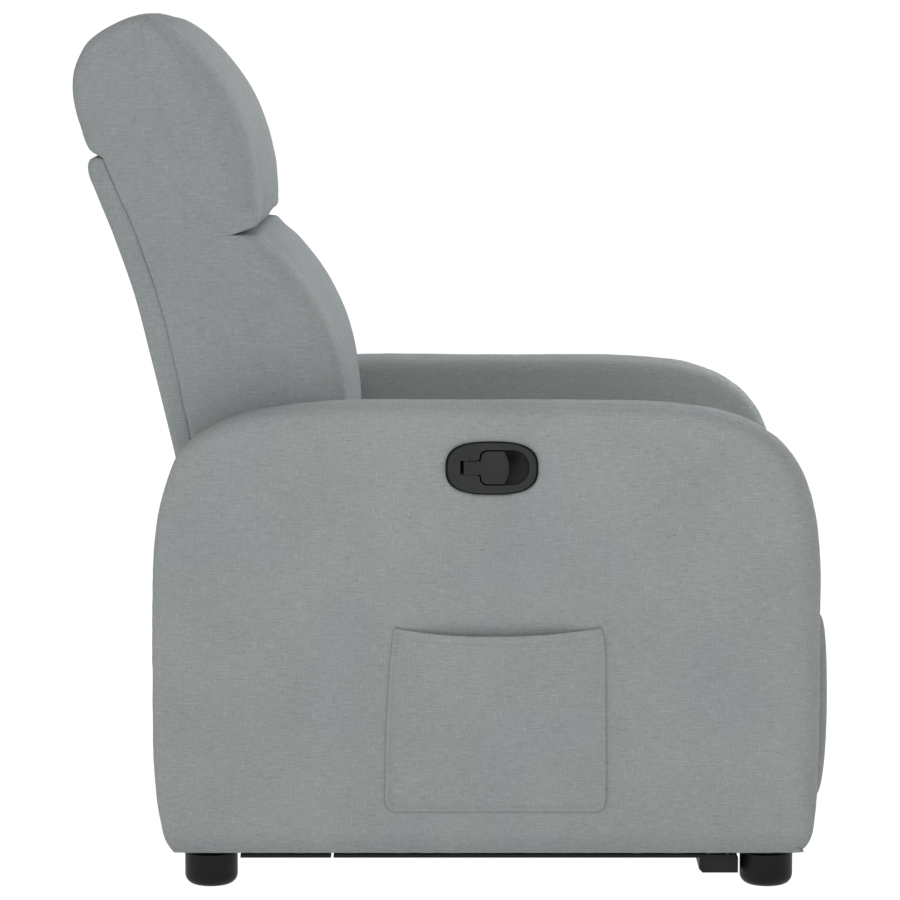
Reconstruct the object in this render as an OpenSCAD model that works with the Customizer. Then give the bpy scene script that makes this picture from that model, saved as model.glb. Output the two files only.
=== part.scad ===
// Recliner armchair with a latch-released footrest and a reclining back.
// +Z is up, the chair faces -Y, and the origin is on the floor under the
// middle of the chair. Side profiles are drawn as [u, z], where u runs
// forward from the middle of the seat, and are extruded across the chair.
// "Right" is the seated person's right, which is -X.

/* [Widths] */
// Clear width between the two arms
inner_w = 510; // [480:2:560]
// Thickness of each arm
arm_w = 90; // [84:1:110]
// Gap on each side between the back and the arms
side_gap = 5; // [4:1:8]

/* [Feet] */
// Radius of each foot
foot_r = 30.5; // [26:0.5:32]
// Rounding of the lower edge of each foot
foot_edge = 12; // [4:1:14]
// Height of the arms' underside above the floor
foot_h = 38; // [36:1:42]

/* [Footrest linkage] */
// Pivot to pivot length of the crossed bars
bar_len = 175; // [172:1:176]
// Upward slope of the line the footrest travels along, in degrees
rise = 12; // [11:0.5:13]
// Angle of the bars to that line when the footrest is stowed
fold_angle = 80; // [79:0.5:81]
// Half width of a bar, which is also the radius of its ends
bar_r = 9; // [8:0.5:9]
// Radius of a linkage rivet
rivet_r = 4; // [3:0.5:4.5]
// Radial running clearance of every rivet and pin
run = 0.06; // [0.03:0.01:0.1]

/* [Handle] */
// Height of the release handle's centre
handle_z = 484; // [475:1:490]
// Length of the oval bezel
bezel_l = 106; // [102:1:112]
// Height of the oval bezel
bezel_h = 61; // [58:1:64]

/* [Side pocket] */
// Depth the pocket stands off the arm
pocket_gap = 5; // [4.5:0.5:8]
// Thickness of the pocket's fabric panel
pocket_t = 2.5; // [2:0.5:4]

/* [Hidden] */
$fn = 48;

u_mid = -6.5;
hw = inner_w / 2;
ow = hw + arm_w;
bw = hw - side_gap;
// Everything above the feet is drawn with the underside at 33 and raised by lift.
lift = foot_h - 33;

// Side profile helpers ------------------------------------------------

// Extrudes a [u, z] profile from x = a to x = b.
module side(a, b) {
  translate([b, u_mid, 0]) rotate([90, 0, -90]) linear_extrude(b - a) children();
}
// Pin along X at [u, z].
module xpin(p, a, b, r) {
  translate([a, u_mid - p[0], p[1]]) rotate([0, 90, 0]) cylinder(h = b - a, r = r);
}
// Block from [x, u, z] low to [x, u, z] high.
module blk(lo, hi) {
  translate([lo[0], u_mid - hi[1], lo[2]]) cube([hi[0] - lo[0], hi[1] - lo[1], hi[2] - lo[2]]);
}
module both() { children(); mirror([1, 0, 0]) children(); }
module up() { translate([0, 0, lift]) children(); }

function cr(a, b, c, d, t) = 0.5 * ((2 * b) + (c - a) * t + (2 * a - 5 * b + 4 * c - d) * t * t
  + (3 * b - a - 3 * c + d) * t * t * t);
// Smooth line through the points of P, n steps between two points.
function smooth(P, n = 5) = let (m = len(P) - 1) concat([for (i = [0 : m - 1]) for (j = [0 : n - 1])
  cr(P[max(i - 1, 0)], P[i], P[i + 1], P[min(i + 2, m)], j / n)], [P[m]]);
function rot2(v, a) = [v[0] * cos(a) - v[1] * sin(a), v[0] * sin(a) + v[1] * cos(a)];

// Arm profile ---------------------------------------------------------

arm_line = smooth([[-319, 33], [-341, 57], [-351, 120], [-352, 235], [-350, 365], [-343, 433],
  [-328, 484], [-306, 515], [-281, 531], [-253, 543], [-198, 554], [-116, 560], [0, 560.5],
  [117, 560.5], [186, 560], [268, 555], [323, 543], [357, 525], [389, 491], [407, 445],
  [415, 398], [418, 317], [418, 236], [418, 166], [414, 84], [406, 45], [393, 33]], 4);
arm_in = smooth([[-308, 46], [-328, 66], [-337, 130], [-338, 235], [-336, 360], [-328, 430],
  [-313, 478], [-293, 504], [-245, 529], [-196, 540], [-116, 546], [0, 546.5], [117, 546.5],
  [186, 546], [262, 542], [315, 530], [348, 513], [377, 482], [393, 441], [401, 396], [404, 317],
  [404, 236], [404, 166], [400, 90], [393, 58], [383, 46]], 3);
arm_panel_line = smooth([[-304, 48], [-324, 68], [-334, 130], [-335, 235], [-333, 360],
  [-325, 428], [-310, 475], [-291, 501], [-244, 526], [-195, 537], [-116, 543], [0, 543.5],
  [117, 543.5], [186, 543], [260, 539], [312, 527], [345, 510], [374, 480], [390, 440], [398, 395],
  [401, 317], [401, 236], [401, 166], [397, 92], [390, 60], [379, 48]], 3);

foot_at = [[-286, 1], [358, 1]];
foot_x = ow - 34;
cable_hole = [196, 305];

module foot_shape() {
  rotate_extrude() difference() {
    polygon(concat([[0, 0]], [for (a = [-90 : 10 : 0])
      [foot_r - foot_edge + foot_edge * cos(a), foot_edge + foot_edge * sin(a)]],
      [[foot_r, foot_h - 0.1], [0, foot_h - 0.1]]));
    translate([-1, 20 + lift]) square([5, 20]);
  }
}
module at_feet() {
  both() for (p = foot_at) translate([foot_x, u_mid - p[0], 0]) children();
}

module feet() { color([0.05, 0.05, 0.05]) at_feet() foot_shape(); }
module foot_studs() { color("silver") at_feet() translate([0, 0, 20]) cylinder(h = 60, r = 4); }
module foot_blocks() {
  color("burlywood") both() for (u = [-286, 350])
    blk([hw + 30, u - 24, 47], [ow - 12, u + 24, 88]);
}

module arm_cover(recess) {
  difference() {
    side(-ow, -hw) polygon(arm_line);
    side(-ow + 10, -hw - 10) polygon(arm_in);
    if (recess) {
      cup_outer(-ow - 1, -ow + 12, 0.2);
      xpin(cable_hole, -hw - 12, -hw + 1, 4);
    }
  }
}
module arm_cover_right() { color([0.62, 0.66, 0.67]) arm_cover(true); }
module arm_cover_left() { color([0.62, 0.66, 0.67]) mirror([1, 0, 0]) arm_cover(false); }
module arm_panel(hole) {
  difference() {
    side(-hw - 28, -hw - 10.3) polygon(arm_panel_line);
    if (hole) xpin(cable_hole, -hw - 30, -hw - 9, 4);
  }
}
module arm_panel_right() { color("burlywood") arm_panel(true); }
module arm_panel_left() { color("burlywood") mirror([1, 0, 0]) arm_panel(false); }
module arm_posts() {
  color("tan") both() {
    blk([hw + 29, -334, 140], [hw + 51, -290, 340]);
    blk([hw + 29, 355, 140], [hw + 51, 399, 340]);
    blk([hw + 29, -180, 500], [hw + 51, -20, 540]);
    blk([hw + 29, 100, 500], [hw + 51, 260, 538]);
  }
}

// Base steel ----------------------------------------------------------

module under_rails() {
  color([0.07, 0.07, 0.07]) both() {
    blk([ow - 30, -251, 29.5], [ow - 10, -146.5, 33]);
    blk([ow - 30, -143.5, 29.5], [ow - 10, 321, 33]);
  }
}
module front_cross_bar() {
  color([0.07, 0.07, 0.07]) side(-ow + 10, ow - 10)
    polygon([[283, 12], [324, 12], [324, 29.5], [279, 29.5], [279, 16]]);
}
module rear_cross_bar() {
  color([0.07, 0.07, 0.07]) blk([-hw + 4.2, -230, 34], [hw - 4.2, -190, 54]);
}

// Footrest linkage ----------------------------------------------------
// The crossed bars travel along the line through "anchor" that rises at
// "rise" degrees. dir points along it and down points square to it.

dir = [cos(rise), sin(rise)];
down = [sin(rise), -cos(rise)];
tip0 = [334, 262];
anchor = tip0 - 2 * bar_len * cos(fold_angle) * dir;
step_f = bar_len * cos(fold_angle);
step_d = bar_len * sin(fold_angle);
cross1 = anchor + 0.5 * step_f * dir + 0.5 * step_d * down;
low1 = anchor + step_f * dir + step_d * down;
high1 = anchor + step_f * dir;
guide0 = anchor + step_d * down;
cross2 = anchor + 1.5 * step_f * dir + 0.5 * step_d * down;
low2 = anchor + 2 * step_f * dir + step_d * down;
stay_a = cross2 + 60 * rot2([1, 0], rise - fold_angle);
stay_b = tip0 + 48 * rot2([1, 0], -66);
guide_end = anchor + 68 * down;

// Layers across the chair, as distance in from the arm: outer face, inner face.
lay_plate = [0.7, 4.2];
lay_a = [8, 12];
lay_b = [14, 18];
lay_stay = [20, 24];
lay_bracket = [26, 30];

// Flat bar between two points: round eyes of radius r and a shank a little narrower.
module bar2d(p, q, r, waist = 0.9) {
  d = q - p;
  w = r * waist;
  translate(p) circle(r);
  translate(q) circle(r);
  translate(p) rotate(atan2(d[1], d[0])) translate([0, -w]) square([norm(d), 2 * w]);
}
module in_layer(l) { side(hw - l[1], hw - l[0]) children(); }
module hole(p, r, l) { xpin(p, hw - l[1] - 1, hw - l[0] + 1, r); }
// Rivet from layer face a (outer) to b (inner), with a low head at each asked end.
module rivet(p, a, b, r, head_in = true, head_out = false) {
  xpin(p, hw - b, hw - a, r);
  if (head_in) xpin(p, hw - b - 1.2, hw - b, r + 2.5);
  if (head_out) xpin(p, hw - a, hw - a + 1.2, r + 2.5);
}

module drive_bars() {
  color([0.25, 0.25, 0.26]) both() difference() {
    in_layer(lay_a) bar2d(anchor, low1, bar_r);
    hole(anchor, 5 + run, lay_a);
    hole(cross1, rivet_r, lay_a);
    hole(low1, rivet_r, lay_a);
  }
}
module drive_tube() {
  color([0.25, 0.25, 0.26]) difference() {
    xpin(anchor, -hw + 12, hw - 12, 8);
    xpin(anchor, -hw + 11, hw - 11, 6);
  }
}
module drive_rivets() {
  color("silver") both() { rivet(cross1, 8, 18.2, rivet_r); rivet(low1, 8, 18.2, rivet_r); }
}
module guide_bars() {
  color([0.3, 0.3, 0.31]) both() difference() {
    in_layer(lay_b) bar2d(guide0, high1, bar_r);
    hole(guide0, 5, lay_b);
    hole(cross1, rivet_r + run, lay_b);
    hole(high1, rivet_r, lay_b);
  }
}
module guide_rivets() {
  color("silver") both() {
    xpin(high1, hw - 18, hw - 7.8, rivet_r);
    xpin(high1, hw - 7.8, hw - 6.8, rivet_r + 2.5);
    xpin(guide0, hw - 18, hw - 0.7, 5);
  }
}
module reach_bars() {
  color([0.25, 0.25, 0.26]) both() difference() {
    in_layer(lay_a) bar2d(high1, low2, bar_r);
    hole(high1, rivet_r + run, lay_a);
    hole(cross2, rivet_r, lay_a);
    hole(stay_a, rivet_r, lay_a);
  }
}
module reach_rivets() {
  color("silver") both() { rivet(cross2, 8, 18.2, rivet_r); rivet(stay_a, 8, 24.2, rivet_r); }
}
module carrier_bars() {
  color([0.3, 0.3, 0.31]) both() difference() {
    in_layer(lay_b) bar2d(low1, tip0, bar_r);
    hole(low1, rivet_r + run, lay_b);
    hole(cross2, rivet_r + run, lay_b);
    hole(tip0, rivet_r, lay_b);
  }
}
module carrier_rivets() { color("silver") both() rivet(tip0, 14, 30.2, rivet_r); }
module stay_links() {
  color([0.25, 0.25, 0.26]) both() difference() {
    in_layer(lay_stay) { bar2d(stay_a, stay_b, 7.5); translate(stay_b) circle(15); }
    hole(stay_a, rivet_r + run, lay_stay);
    hole(stay_b, 10, lay_stay);
  }
}
module footrest_brackets() {
  color([0.25, 0.25, 0.26]) both() {
    difference() {
      in_layer(lay_bracket) {
        bar2d(tip0, [372, 250], 9.5);
        bar2d(stay_b, [372, 219], 9);
        polygon([[350, 206], [385, 205], [385, 263], [338, 270], [327, 257], [346, 216]]);
      }
      hole(tip0, rivet_r + run, lay_bracket);
      hole(stay_b, 3.5, lay_bracket);
    }
    blk([hw - 66, 382, 196], [hw - 30, 385, 268]);
    xpin(stay_b, hw - 30, hw - 19.2, 3.5);
  }
}
module bracket_screws() {
  color("silver") both() for (z = [206, 258]) for (x = [40, 56])
    translate([hw - x, u_mid - 379.6, z]) rotate([90, 0, 0]) {
      cylinder(h = 2.4, r = 4.5);
      cylinder(h = 15, r = 2);
    }
}
module footrest_board() { color("burlywood") blk([-bw + 2, 385, 86], [bw - 2, 397, 272]); }
module footrest_pad() {
  color([0.62, 0.66, 0.67]) side(-bw, bw) polygon(concat([[397.3, 82]],
    smooth([[408, 80], [421, 83], [429, 112], [432, 150], [432.5, 190], [432, 235], [430, 275],
      [426, 297], [419, 303]], 4), [[397.3, 284]]));
}

// Mechanism plates ----------------------------------------------------

recline_axis = [-215, 310];
lever_axis = [222, 287];

module mechanism_rails() {
  color([0.12, 0.12, 0.12]) both() difference() {
    in_layer(lay_plate) {
      translate([-232, 275]) square([567, 60]);
      translate(recline_axis) circle(30);
    }
    hole(recline_axis, 6, lay_plate);
    hole(cable_hole, 4.5, lay_plate);
    hole(lever_axis, 3, lay_plate);
  }
}
module front_leg_plates() {
  color([0.12, 0.12, 0.12]) both() difference() {
    in_layer(lay_plate) translate([262, 29.6]) square([73, 245.4]);
    in_layer([0, 5]) bar2d(guide0 + 0.3 * down, guide_end, 5.05 + run, 0.99);
    hole(anchor, 5, lay_plate);
  }
}
module rear_leg_plates() {
  color([0.12, 0.12, 0.12]) both() in_layer(lay_plate) translate([-232, 29.6]) square([42, 245.4]);
}
module drive_pivot_pins() { color("silver") both() xpin(anchor, hw - 12, hw - 0.7, 5); }
module arm_bolts() {
  color("silver") both() for (p = [[-150, 300], [60, 290], [-211, 120], [-211, 230]]) {
    xpin(p, hw - 8, hw - 4.2, 7);
    xpin(p, hw - 4.2, hw + 24, 3);
  }
}
module cross_bar_bolts() {
  color("silver") {
    both() for (u = [290, 312]) translate([ow - 20, u_mid - u, 16]) cylinder(h = 23, r = 3);
    both() for (z = [44]) for (u = [-222, -198]) xpin([u, z], hw - 20, hw - 0.9, 3);
  }
}

// Seat ----------------------------------------------------------------

module seat_side_rails() {
  color("burlywood") both() difference() {
    blk([hw - 27, -108, 307], [hw - 5, 352, 345]);
    xpin(cable_hole, hw - 28, hw - 4, 4.5);
  }
}
module seat_front_rail() { color("burlywood") blk([-hw + 5, 352, 307], [hw - 5, 376, 345]); }
module seat_rear_rail() { color("burlywood") blk([-hw + 27, -108, 307], [hw - 27, -86, 345]); }
module rail_screws() {
  color("silver") both() for (u = [-80, 100, 300]) xpin([u, 326], hw - 24, hw - 0.9, 2.5);
}

spring_x = [-168, -56, 56, 168];
spring_path = [for (i = [0 : 72]) let (u = -96 + i * 460 / 72)
  [22 * sin(i * 45), u, 349.5 + 3.5 * sin(180 * i / 72)]];
// Tube of radius r along a list of [x, u, z] points, s sides.
module tube_along(P, r, s) {
  n = len(P);
  W = [for (p = P) [p[0], u_mid - p[1], p[2]]];
  T = [for (i = [0 : n - 1]) let (d = W[min(i + 1, n - 1)] - W[max(i - 1, 0)]) d / norm(d)];
  R = [for (i = [0 : n - 1]) let (ref = abs(T[i][2]) > 0.9 ? [1, 0, 0] : [0, 0, 1],
    a = cross(T[i], ref), e = a / norm(a), f = cross(T[i], e))
    for (k = [0 : s - 1]) W[i] + r * (cos(360 * k / s) * e + sin(360 * k / s) * f)];
  polyhedron(R, concat([[for (k = [0 : s - 1]) k]],
    [for (i = [0 : n - 2]) for (k = [0 : s - 1]) let (a = i * s + k, b = i * s + (k + 1) % s)
      [a, a + s, b + s, b]],
    [[for (k = [s - 1 : -1 : 0]) (n - 1) * s + k]]), convexity = 10);
}
module seat_springs() {
  color("silver") for (x = spring_x) translate([x, 0, 0]) tube_along(spring_path, 1.9, 6);
}
module spring_clips() {
  color("silver") for (x = spring_x) for (u = [-100, 366]) translate([x - 9, u_mid - u - 3.4, 345])
    cube([18, 6.8, 8]);
}
module seat_cushion() {
  color([0.62, 0.66, 0.67]) side(-hw + 3, hw - 3) polygon(concat([[-112, 358]],
    smooth([[-112, 440], [-106, 449], [-60, 456], [60, 462], [200, 464], [300, 460], [358, 446],
      [398, 416], [418, 380], [425.5, 345], [425.5, 318], [420, 306.5]], 4),
    [[378, 306.5], [378, 358]]));
}

module rear_rail() { color("burlywood") blk([-hw + 1, -344, 60], [hw - 1, -328, 284]); }
module rear_panel() { color([0.62, 0.66, 0.67]) blk([-hw + 0.5, -351.5, 36], [hw - 0.5, -344.5, 297]); }

// Back ----------------------------------------------------------------

post_mid = [[-243, 326], [-252, 420], [-262, 500], [-275, 587], [-299, 660], [-332, 750],
  [-372, 842], [-399, 925]];
function band(P, w, n = 4) = let (S = smooth(P, n)) concat([for (p = S) p - [w, 0]],
  [for (i = [len(S) - 1 : -1 : 0]) S[i] + [w, 0]]);

shell_front = [[-276, 302], [-288, 380], [-304, 480], [-317, 540], [-331, 608], [-349, 680],
  [-372, 745], [-398, 806], [-410, 836]];
seam_line = [[-203, 326], [-205, 400], [-212, 480], [-219, 545], [-225, 588], [-259, 676],
  [-296, 768], [-325, 842], [-350, 914], [-363, 985]];
seam_fine = smooth(seam_line, 4);
function shift_all(P, d) = [for (p = P) p + d];
function part_of(P, a, b) = [for (i = [a : b]) P[i]];
function rev(P) = [for (i = [len(P) - 1 : -1 : 0]) P[i]];

module back_shell() {
  color([0.6, 0.64, 0.65]) side(-bw + 1, bw - 1) polygon(concat(
    smooth([[-294, 302], [-306, 380], [-330, 494], [-346, 564], [-369, 657], [-391, 727],
      [-418, 796], [-426.5, 824], [-423, 836], [-416, 838.5]], 4),
    smooth(rev(shell_front), 4)));
}
module back_body() {
  color([0.62, 0.66, 0.67]) difference() {
    side(-bw, bw) polygon(concat(
      smooth(concat([[-278.5, 326]], shift_all([for (i = [1 : 8]) shell_front[i]], [1, 0])), 4),
      smooth([[-408, 841], [-423, 846], [-436, 867], [-443, 890], [-445.5, 915], [-441, 942],
        [-430, 963], [-410, 983], [-388, 995], [-368, 1000]], 4),
      rev(seam_fine)));
    side(-hw + 14, hw - 14) polygon(concat([[-267, 320]], band(post_mid, 24), [[-219, 320]]));
  }
}
module head_pillow() {
  color([0.64, 0.68, 0.69]) side(-bw, bw) polygon(concat(
    smooth([[-361, 986], [-352, 997], [-341, 996], [-320, 987], [-296, 967], [-276, 946],
      [-249, 907], [-229, 858], [-219, 812], [-221, 786], [-227, 766], [-240, 752], [-262, 745.5],
      [-284, 744.5]], 4),
    shift_all(part_of(seam_fine, 24, 32), [1.3, 0])));
}
module lumbar_pillow() {
  color([0.64, 0.68, 0.69]) side(-bw, bw) polygon(concat(
    smooth([[-281.5, 738], [-262, 740], [-240, 745.5], [-224, 755], [-211, 749], [-198, 737],
      [-168, 700], [-142, 651], [-127, 602], [-121, 553], [-119, 528], [-118, 480], [-116, 430],
      [-115, 380], [-115, 326]], 4),
    shift_all(part_of(seam_fine, 0, 22), [1, 0])));
}
module back_posts() {
  color("burlywood") both() side(hw - 41, hw - 19.3) polygon(band(post_mid, 18));
}
module back_brackets() {
  color([0.12, 0.12, 0.12]) both() difference() {
    in_layer([15, 19]) {
      translate(recline_axis) circle(15);
      polygon([[-229, 304], [-201, 304], [-226, 345], [-238, 440], [-262, 440], [-254, 345]]);
    }
    hole(recline_axis, 6, [15, 19]);
  }
}
module back_hinge_pins() {
  color("silver") both() {
    xpin(recline_axis, hw - 19, hw - 0.7, 6 - run);
    xpin(recline_axis, hw - 21, hw - 19, 9);
  }
}
module bracket_bolts() {
  color("silver") both() for (p = [[-245, 370], [-249, 425]]) xpin(p, hw - 38, hw - 14.2, 3);
}
module back_top_rail() { color("burlywood") blk([-hw + 41.3, -404, 886], [hw - 41.3, -380, 912]); }
module back_bottom_rail() { color("burlywood") blk([-hw + 41.3, -260, 330], [hw - 41.3, -234, 370]); }
module back_webbing() {
  color([0.2, 0.2, 0.2]) for (p = [[-240, 440], [-252, 520], [-270, 600], [-297, 680], [-328, 760],
    [-362, 835]]) blk([-hw + 41, p[0] - 3, p[1] - 22], [hw - 41, p[0], p[1] + 22]);
}

// Handle and release --------------------------------------------------

hz = handle_z;
hu = 39;
module stadium(l, h) {
  translate([(h - l) / 2, 0]) circle(h / 2);
  translate([(l - h) / 2, 0]) circle(h / 2);
  translate([(h - l) / 2, -h / 2]) square([l - h, h]);
}
module rrect(w, h, r) {
  translate([0, r]) square([w, h - 2 * r]);
  translate([r, 0]) square([w - 2 * r, h]);
  for (x = [r, w - r]) for (y = [r, h - r]) translate([x, y]) circle(r);
}
// Opening for the paddle: a narrow slot for its stem and a wide well for
// its grip and the fingers, each grown by g.
module opening2d(g) {
  translate([4 - g, hz - 9 - g]) square([26, 18 + 2 * g]);
  translate([26 - g, hz - 21 - g]) rrect(58 + 2 * g, 42 + 2 * g, 10 + g);
}
module cup_outer(a, b, g) { side(a, b) opening2d(2 + g); }
module handle_bezel() {
  color([0.05, 0.05, 0.05]) difference() {
    union() {
      side(-ow - 2.5, -ow) translate([hu, hz]) stadium(bezel_l, bezel_h);
      side(-ow - 4, -ow - 2.5) translate([hu, hz]) stadium(bezel_l - 4, bezel_h - 4);
    }
    side(-ow - 5, -ow + 1) opening2d(0);
  }
}
module finger_cup() {
  color([0.04, 0.04, 0.04]) difference() {
    cup_outer(-ow, -ow + 36, 0);
    side(-ow - 1, -ow + 34) opening2d(0);
    translate([-ow + pin_x, u_mid - pin_u, hz - 10.5]) cylinder(h = 21, r = 1.5);
    xpin([13, hz], -ow + 33, -ow + 37, 2.6);
  }
}
// The paddle turns about an upright pin just behind the rear end of its stem.
pin_u = 9.5;
pin_x = 4.5;
module handle_paddle() {
  color([0.06, 0.06, 0.06]) difference() {
    union() {
      side(-ow - 2.5, -ow + 1.5) {
        translate([8.5, hz - 8]) square([24, 16]);
        translate([28.2, hz - 19]) rrect(28, 38, 8);
        intersection() {
          translate([26, hz]) circle(34.5);
          translate([40, hz - 19]) square([22, 38]);
        }
      }
      translate([-ow + pin_x, u_mid - pin_u, hz - 7.5]) cylinder(h = 15, r = 4);
      blk([-ow + 1, pin_u, hz - 6], [-ow + 6, 15, hz + 6]);
    }
    translate([-ow + pin_x, u_mid - pin_u, hz - 12]) cylinder(h = 24, r = 1.5 + run);
  }
}
module paddle_pin() {
  color("silver") translate([-ow + pin_x, u_mid - pin_u, hz - 10.5]) cylinder(h = 21, r = 1.5);
}
cable_path = smooth([[-311, 13, 484], [-301, 13, 484], [-296, 24, 472], [-297, 60, 420],
  [-299, 110, 360], [-298, 160, 316], [-293, 188, 305], [-284, 196, 305], [-270, 196, 305],
  [-250, 196, 305], [-243, 198, 304], [-238.5, 204, 300]], 4);
module release_cable() {
  k = ow - 345;
  color([0.08, 0.08, 0.08]) translate([-k, 0, 0]) tube_along(cable_path, 2.4, 8);
}
// Friction pawl of the latch, on the right plate. Its nose rides on the drive bar's round hub.
module release_lever() {
  color([0.3, 0.3, 0.31]) mirror([1, 0, 0]) difference() {
    in_layer(lay_a) {
      bar2d(lever_axis, anchor + 16 * rot2([1, 0], 142), 5);
      bar2d(lever_axis, [209, 296], 5);
      translate(lever_axis) circle(8);
    }
    hole(lever_axis, 3 + run, lay_a);
  }
}
module release_lever_pin() { color("silver") xpin(lever_axis, -hw + 0.7, -hw + 13, 3); }

// Side pocket ---------------------------------------------------------

pk_u = [-84, 171];
pk_z = [86, 300];
pocket_top = smooth([[pk_u[0] + 13, pk_z[1]], [-20, 295], [45, 291], [110, 293], [pk_u[1] - 1, 297]], 5);
module pocket_panel() {
  color([0.6, 0.64, 0.65]) side(-ow - pocket_gap - pocket_t, -ow - pocket_gap)
    polygon(concat([[pk_u[0], 100], [pk_u[0] + 1, 180], [pk_u[0] + 6, 260]], pocket_top,
      [[pk_u[1], 100], [pk_u[1] - 4, 90], [pk_u[1] - 12, pk_z[0]], [pk_u[0] + 12, pk_z[0]],
       [pk_u[0] + 4, 90]]));
}
module pocket_gusset() {
  color([0.6, 0.64, 0.65]) side(-ow - pocket_gap, -ow) {
    polygon([[pk_u[0], 100], [pk_u[0] + 1, 180], [pk_u[0] + 6, 260], [pk_u[0] + 12, 294],
      [pk_u[0] + 16, 294], [pk_u[0] + 10, 260], [pk_u[0] + 5, 180], [pk_u[0] + 4, 100]]);
    translate([pk_u[1] - 4, 100]) square([4, 194]);
    translate([pk_u[0] + 6, pk_z[0] + 1]) square([pk_u[1] - pk_u[0] - 12, 4]);
  }
}

feet();
up() foot_studs();
up() foot_blocks();
up() under_rails();
up() front_cross_bar();
up() rear_cross_bar();
up() arm_panel_right();
up() arm_panel_left();
up() arm_posts();
up() arm_cover_right();
up() arm_cover_left();
up() arm_bolts();
up() mechanism_rails();
up() front_leg_plates();
up() rear_leg_plates();
up() cross_bar_bolts();
up() seat_side_rails();
up() seat_front_rail();
up() seat_rear_rail();
up() rail_screws();
up() seat_springs();
up() spring_clips();
up() seat_cushion();
up() rear_rail();
up() rear_panel();
up() back_brackets();
up() bracket_bolts();
up() back_hinge_pins();
up() back_posts();
up() back_top_rail();
up() back_bottom_rail();
up() back_webbing();
up() back_body();
up() back_shell();
up() head_pillow();
up() lumbar_pillow();
up() drive_pivot_pins();
up() drive_bars();
up() drive_tube();
up() drive_rivets();
up() guide_bars();
up() guide_rivets();
up() reach_bars();
up() reach_rivets();
up() carrier_bars();
up() carrier_rivets();
up() stay_links();
up() footrest_brackets();
up() bracket_screws();
up() footrest_board();
up() footrest_pad();
up() handle_bezel();
up() finger_cup();
up() handle_paddle();
up() paddle_pin();
up() release_cable();
up() release_lever();
up() release_lever_pin();
up() pocket_panel();
up() pocket_gusset();
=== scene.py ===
import bpy
import bmesh
import math
import numpy as np
from mathutils import Matrix, Vector, noise
from mathutils.geometry import delaunay_2d_cdt
from mathutils.bvhtree import BVHTree
from mathutils.kdtree import KDTree


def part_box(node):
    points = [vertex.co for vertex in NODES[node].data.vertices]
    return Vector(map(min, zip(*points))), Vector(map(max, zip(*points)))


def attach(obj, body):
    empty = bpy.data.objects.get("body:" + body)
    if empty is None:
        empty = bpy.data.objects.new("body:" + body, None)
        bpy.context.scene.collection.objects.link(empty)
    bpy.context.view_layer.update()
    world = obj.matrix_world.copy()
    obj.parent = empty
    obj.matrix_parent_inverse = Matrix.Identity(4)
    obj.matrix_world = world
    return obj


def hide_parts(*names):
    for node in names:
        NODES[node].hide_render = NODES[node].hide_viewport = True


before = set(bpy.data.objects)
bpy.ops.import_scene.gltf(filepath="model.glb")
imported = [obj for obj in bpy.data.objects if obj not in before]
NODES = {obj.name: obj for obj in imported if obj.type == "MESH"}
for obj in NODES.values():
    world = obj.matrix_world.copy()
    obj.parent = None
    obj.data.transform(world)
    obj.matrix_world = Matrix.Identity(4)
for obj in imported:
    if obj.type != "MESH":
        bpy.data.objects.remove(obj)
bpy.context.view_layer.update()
SCN = bpy.context.scene

# ------------------------------------------------------------------ places
# Profiles below are drawn in millimetres in the chair's side plane: u runs
# forward and z up. MID is where u = 0 lies, and it comes from the arm's CAD box.
a_lo, a_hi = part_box("arm_cover_right")
MID = a_hi.y - 0.352
ARM_OUT, ARM_IN = abs(a_lo.x) * 1000, abs(a_hi.x) * 1000
b_lo, b_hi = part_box("back_body")
BACK_W = b_hi.x * 1000


# Heights in the profiles count the arms' underside as 33, and UP is what the feet add.
UP = a_lo.z * 1000 - 33


def W(x, u, z):
    return Vector((x / 1000, MID - u / 1000, (z + UP) / 1000))


def arr(P):
    return np.array(P, float)


def smooth_line(P, n=8, closed=False):
    """Catmull-Rom line through P, n steps between two points."""
    P = arr(P)
    m = len(P)
    out = []
    last = m if closed else m - 1
    for i in range(last):
        a = P[(i - 1) % m] if closed or i else P[0]
        b, c = P[i], P[(i + 1) % m]
        d = P[(i + 2) % m] if closed or i + 2 < m else P[-1]
        for j in range(n):
            t = j / n
            out.append(0.5 * (2 * b + (c - a) * t + (2 * a - 5 * b + 4 * c - d) * t * t
                              + (3 * b - a - 3 * c + d) * t ** 3))
    if not closed:
        out.append(P[-1])
    return arr(out)


def respace(P, step, closed=True):
    P = arr(P)
    Q = np.vstack([P, P[:1]]) if closed else P
    seg = np.linalg.norm(np.diff(Q, axis=0), axis=1)
    s = np.concatenate([[0], np.cumsum(seg)])
    n = max(8 if closed else 2, int(round(s[-1] / step)))
    t = np.linspace(0, s[-1], n + 1)
    if closed:
        t = t[:-1]
    return np.stack([np.interp(t, s, Q[:, k]) for k in range(Q.shape[1])], 1)


def area2(P):
    x, y = P[:, 0], P[:, 1]
    return 0.5 * float(np.sum(x * np.roll(y, -1) - np.roll(x, -1) * y))


def ccw(P):
    return P if area2(P) > 0 else P[::-1].copy()


def ring_smooth(v, times, closed=True):
    v = np.array(v, float)
    for _ in range(times):
        if closed:
            v = 0.25 * np.roll(v, 1, 0) + 0.5 * v + 0.25 * np.roll(v, -1, 0)
        else:
            w = v.copy()
            w[1:-1] = 0.25 * v[:-2] + 0.5 * v[1:-1] + 0.25 * v[2:]
            v = w
    return v


def normals2(P, times=2):
    t = np.roll(P, -1, 0) - np.roll(P, 1, 0)
    n = np.stack([t[:, 1], -t[:, 0]], 1)
    n = ring_smooth(n / np.maximum(np.linalg.norm(n, axis=1), 1e-9)[:, None], times)
    return n / np.maximum(np.linalg.norm(n, axis=1), 1e-9)[:, None]


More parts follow.
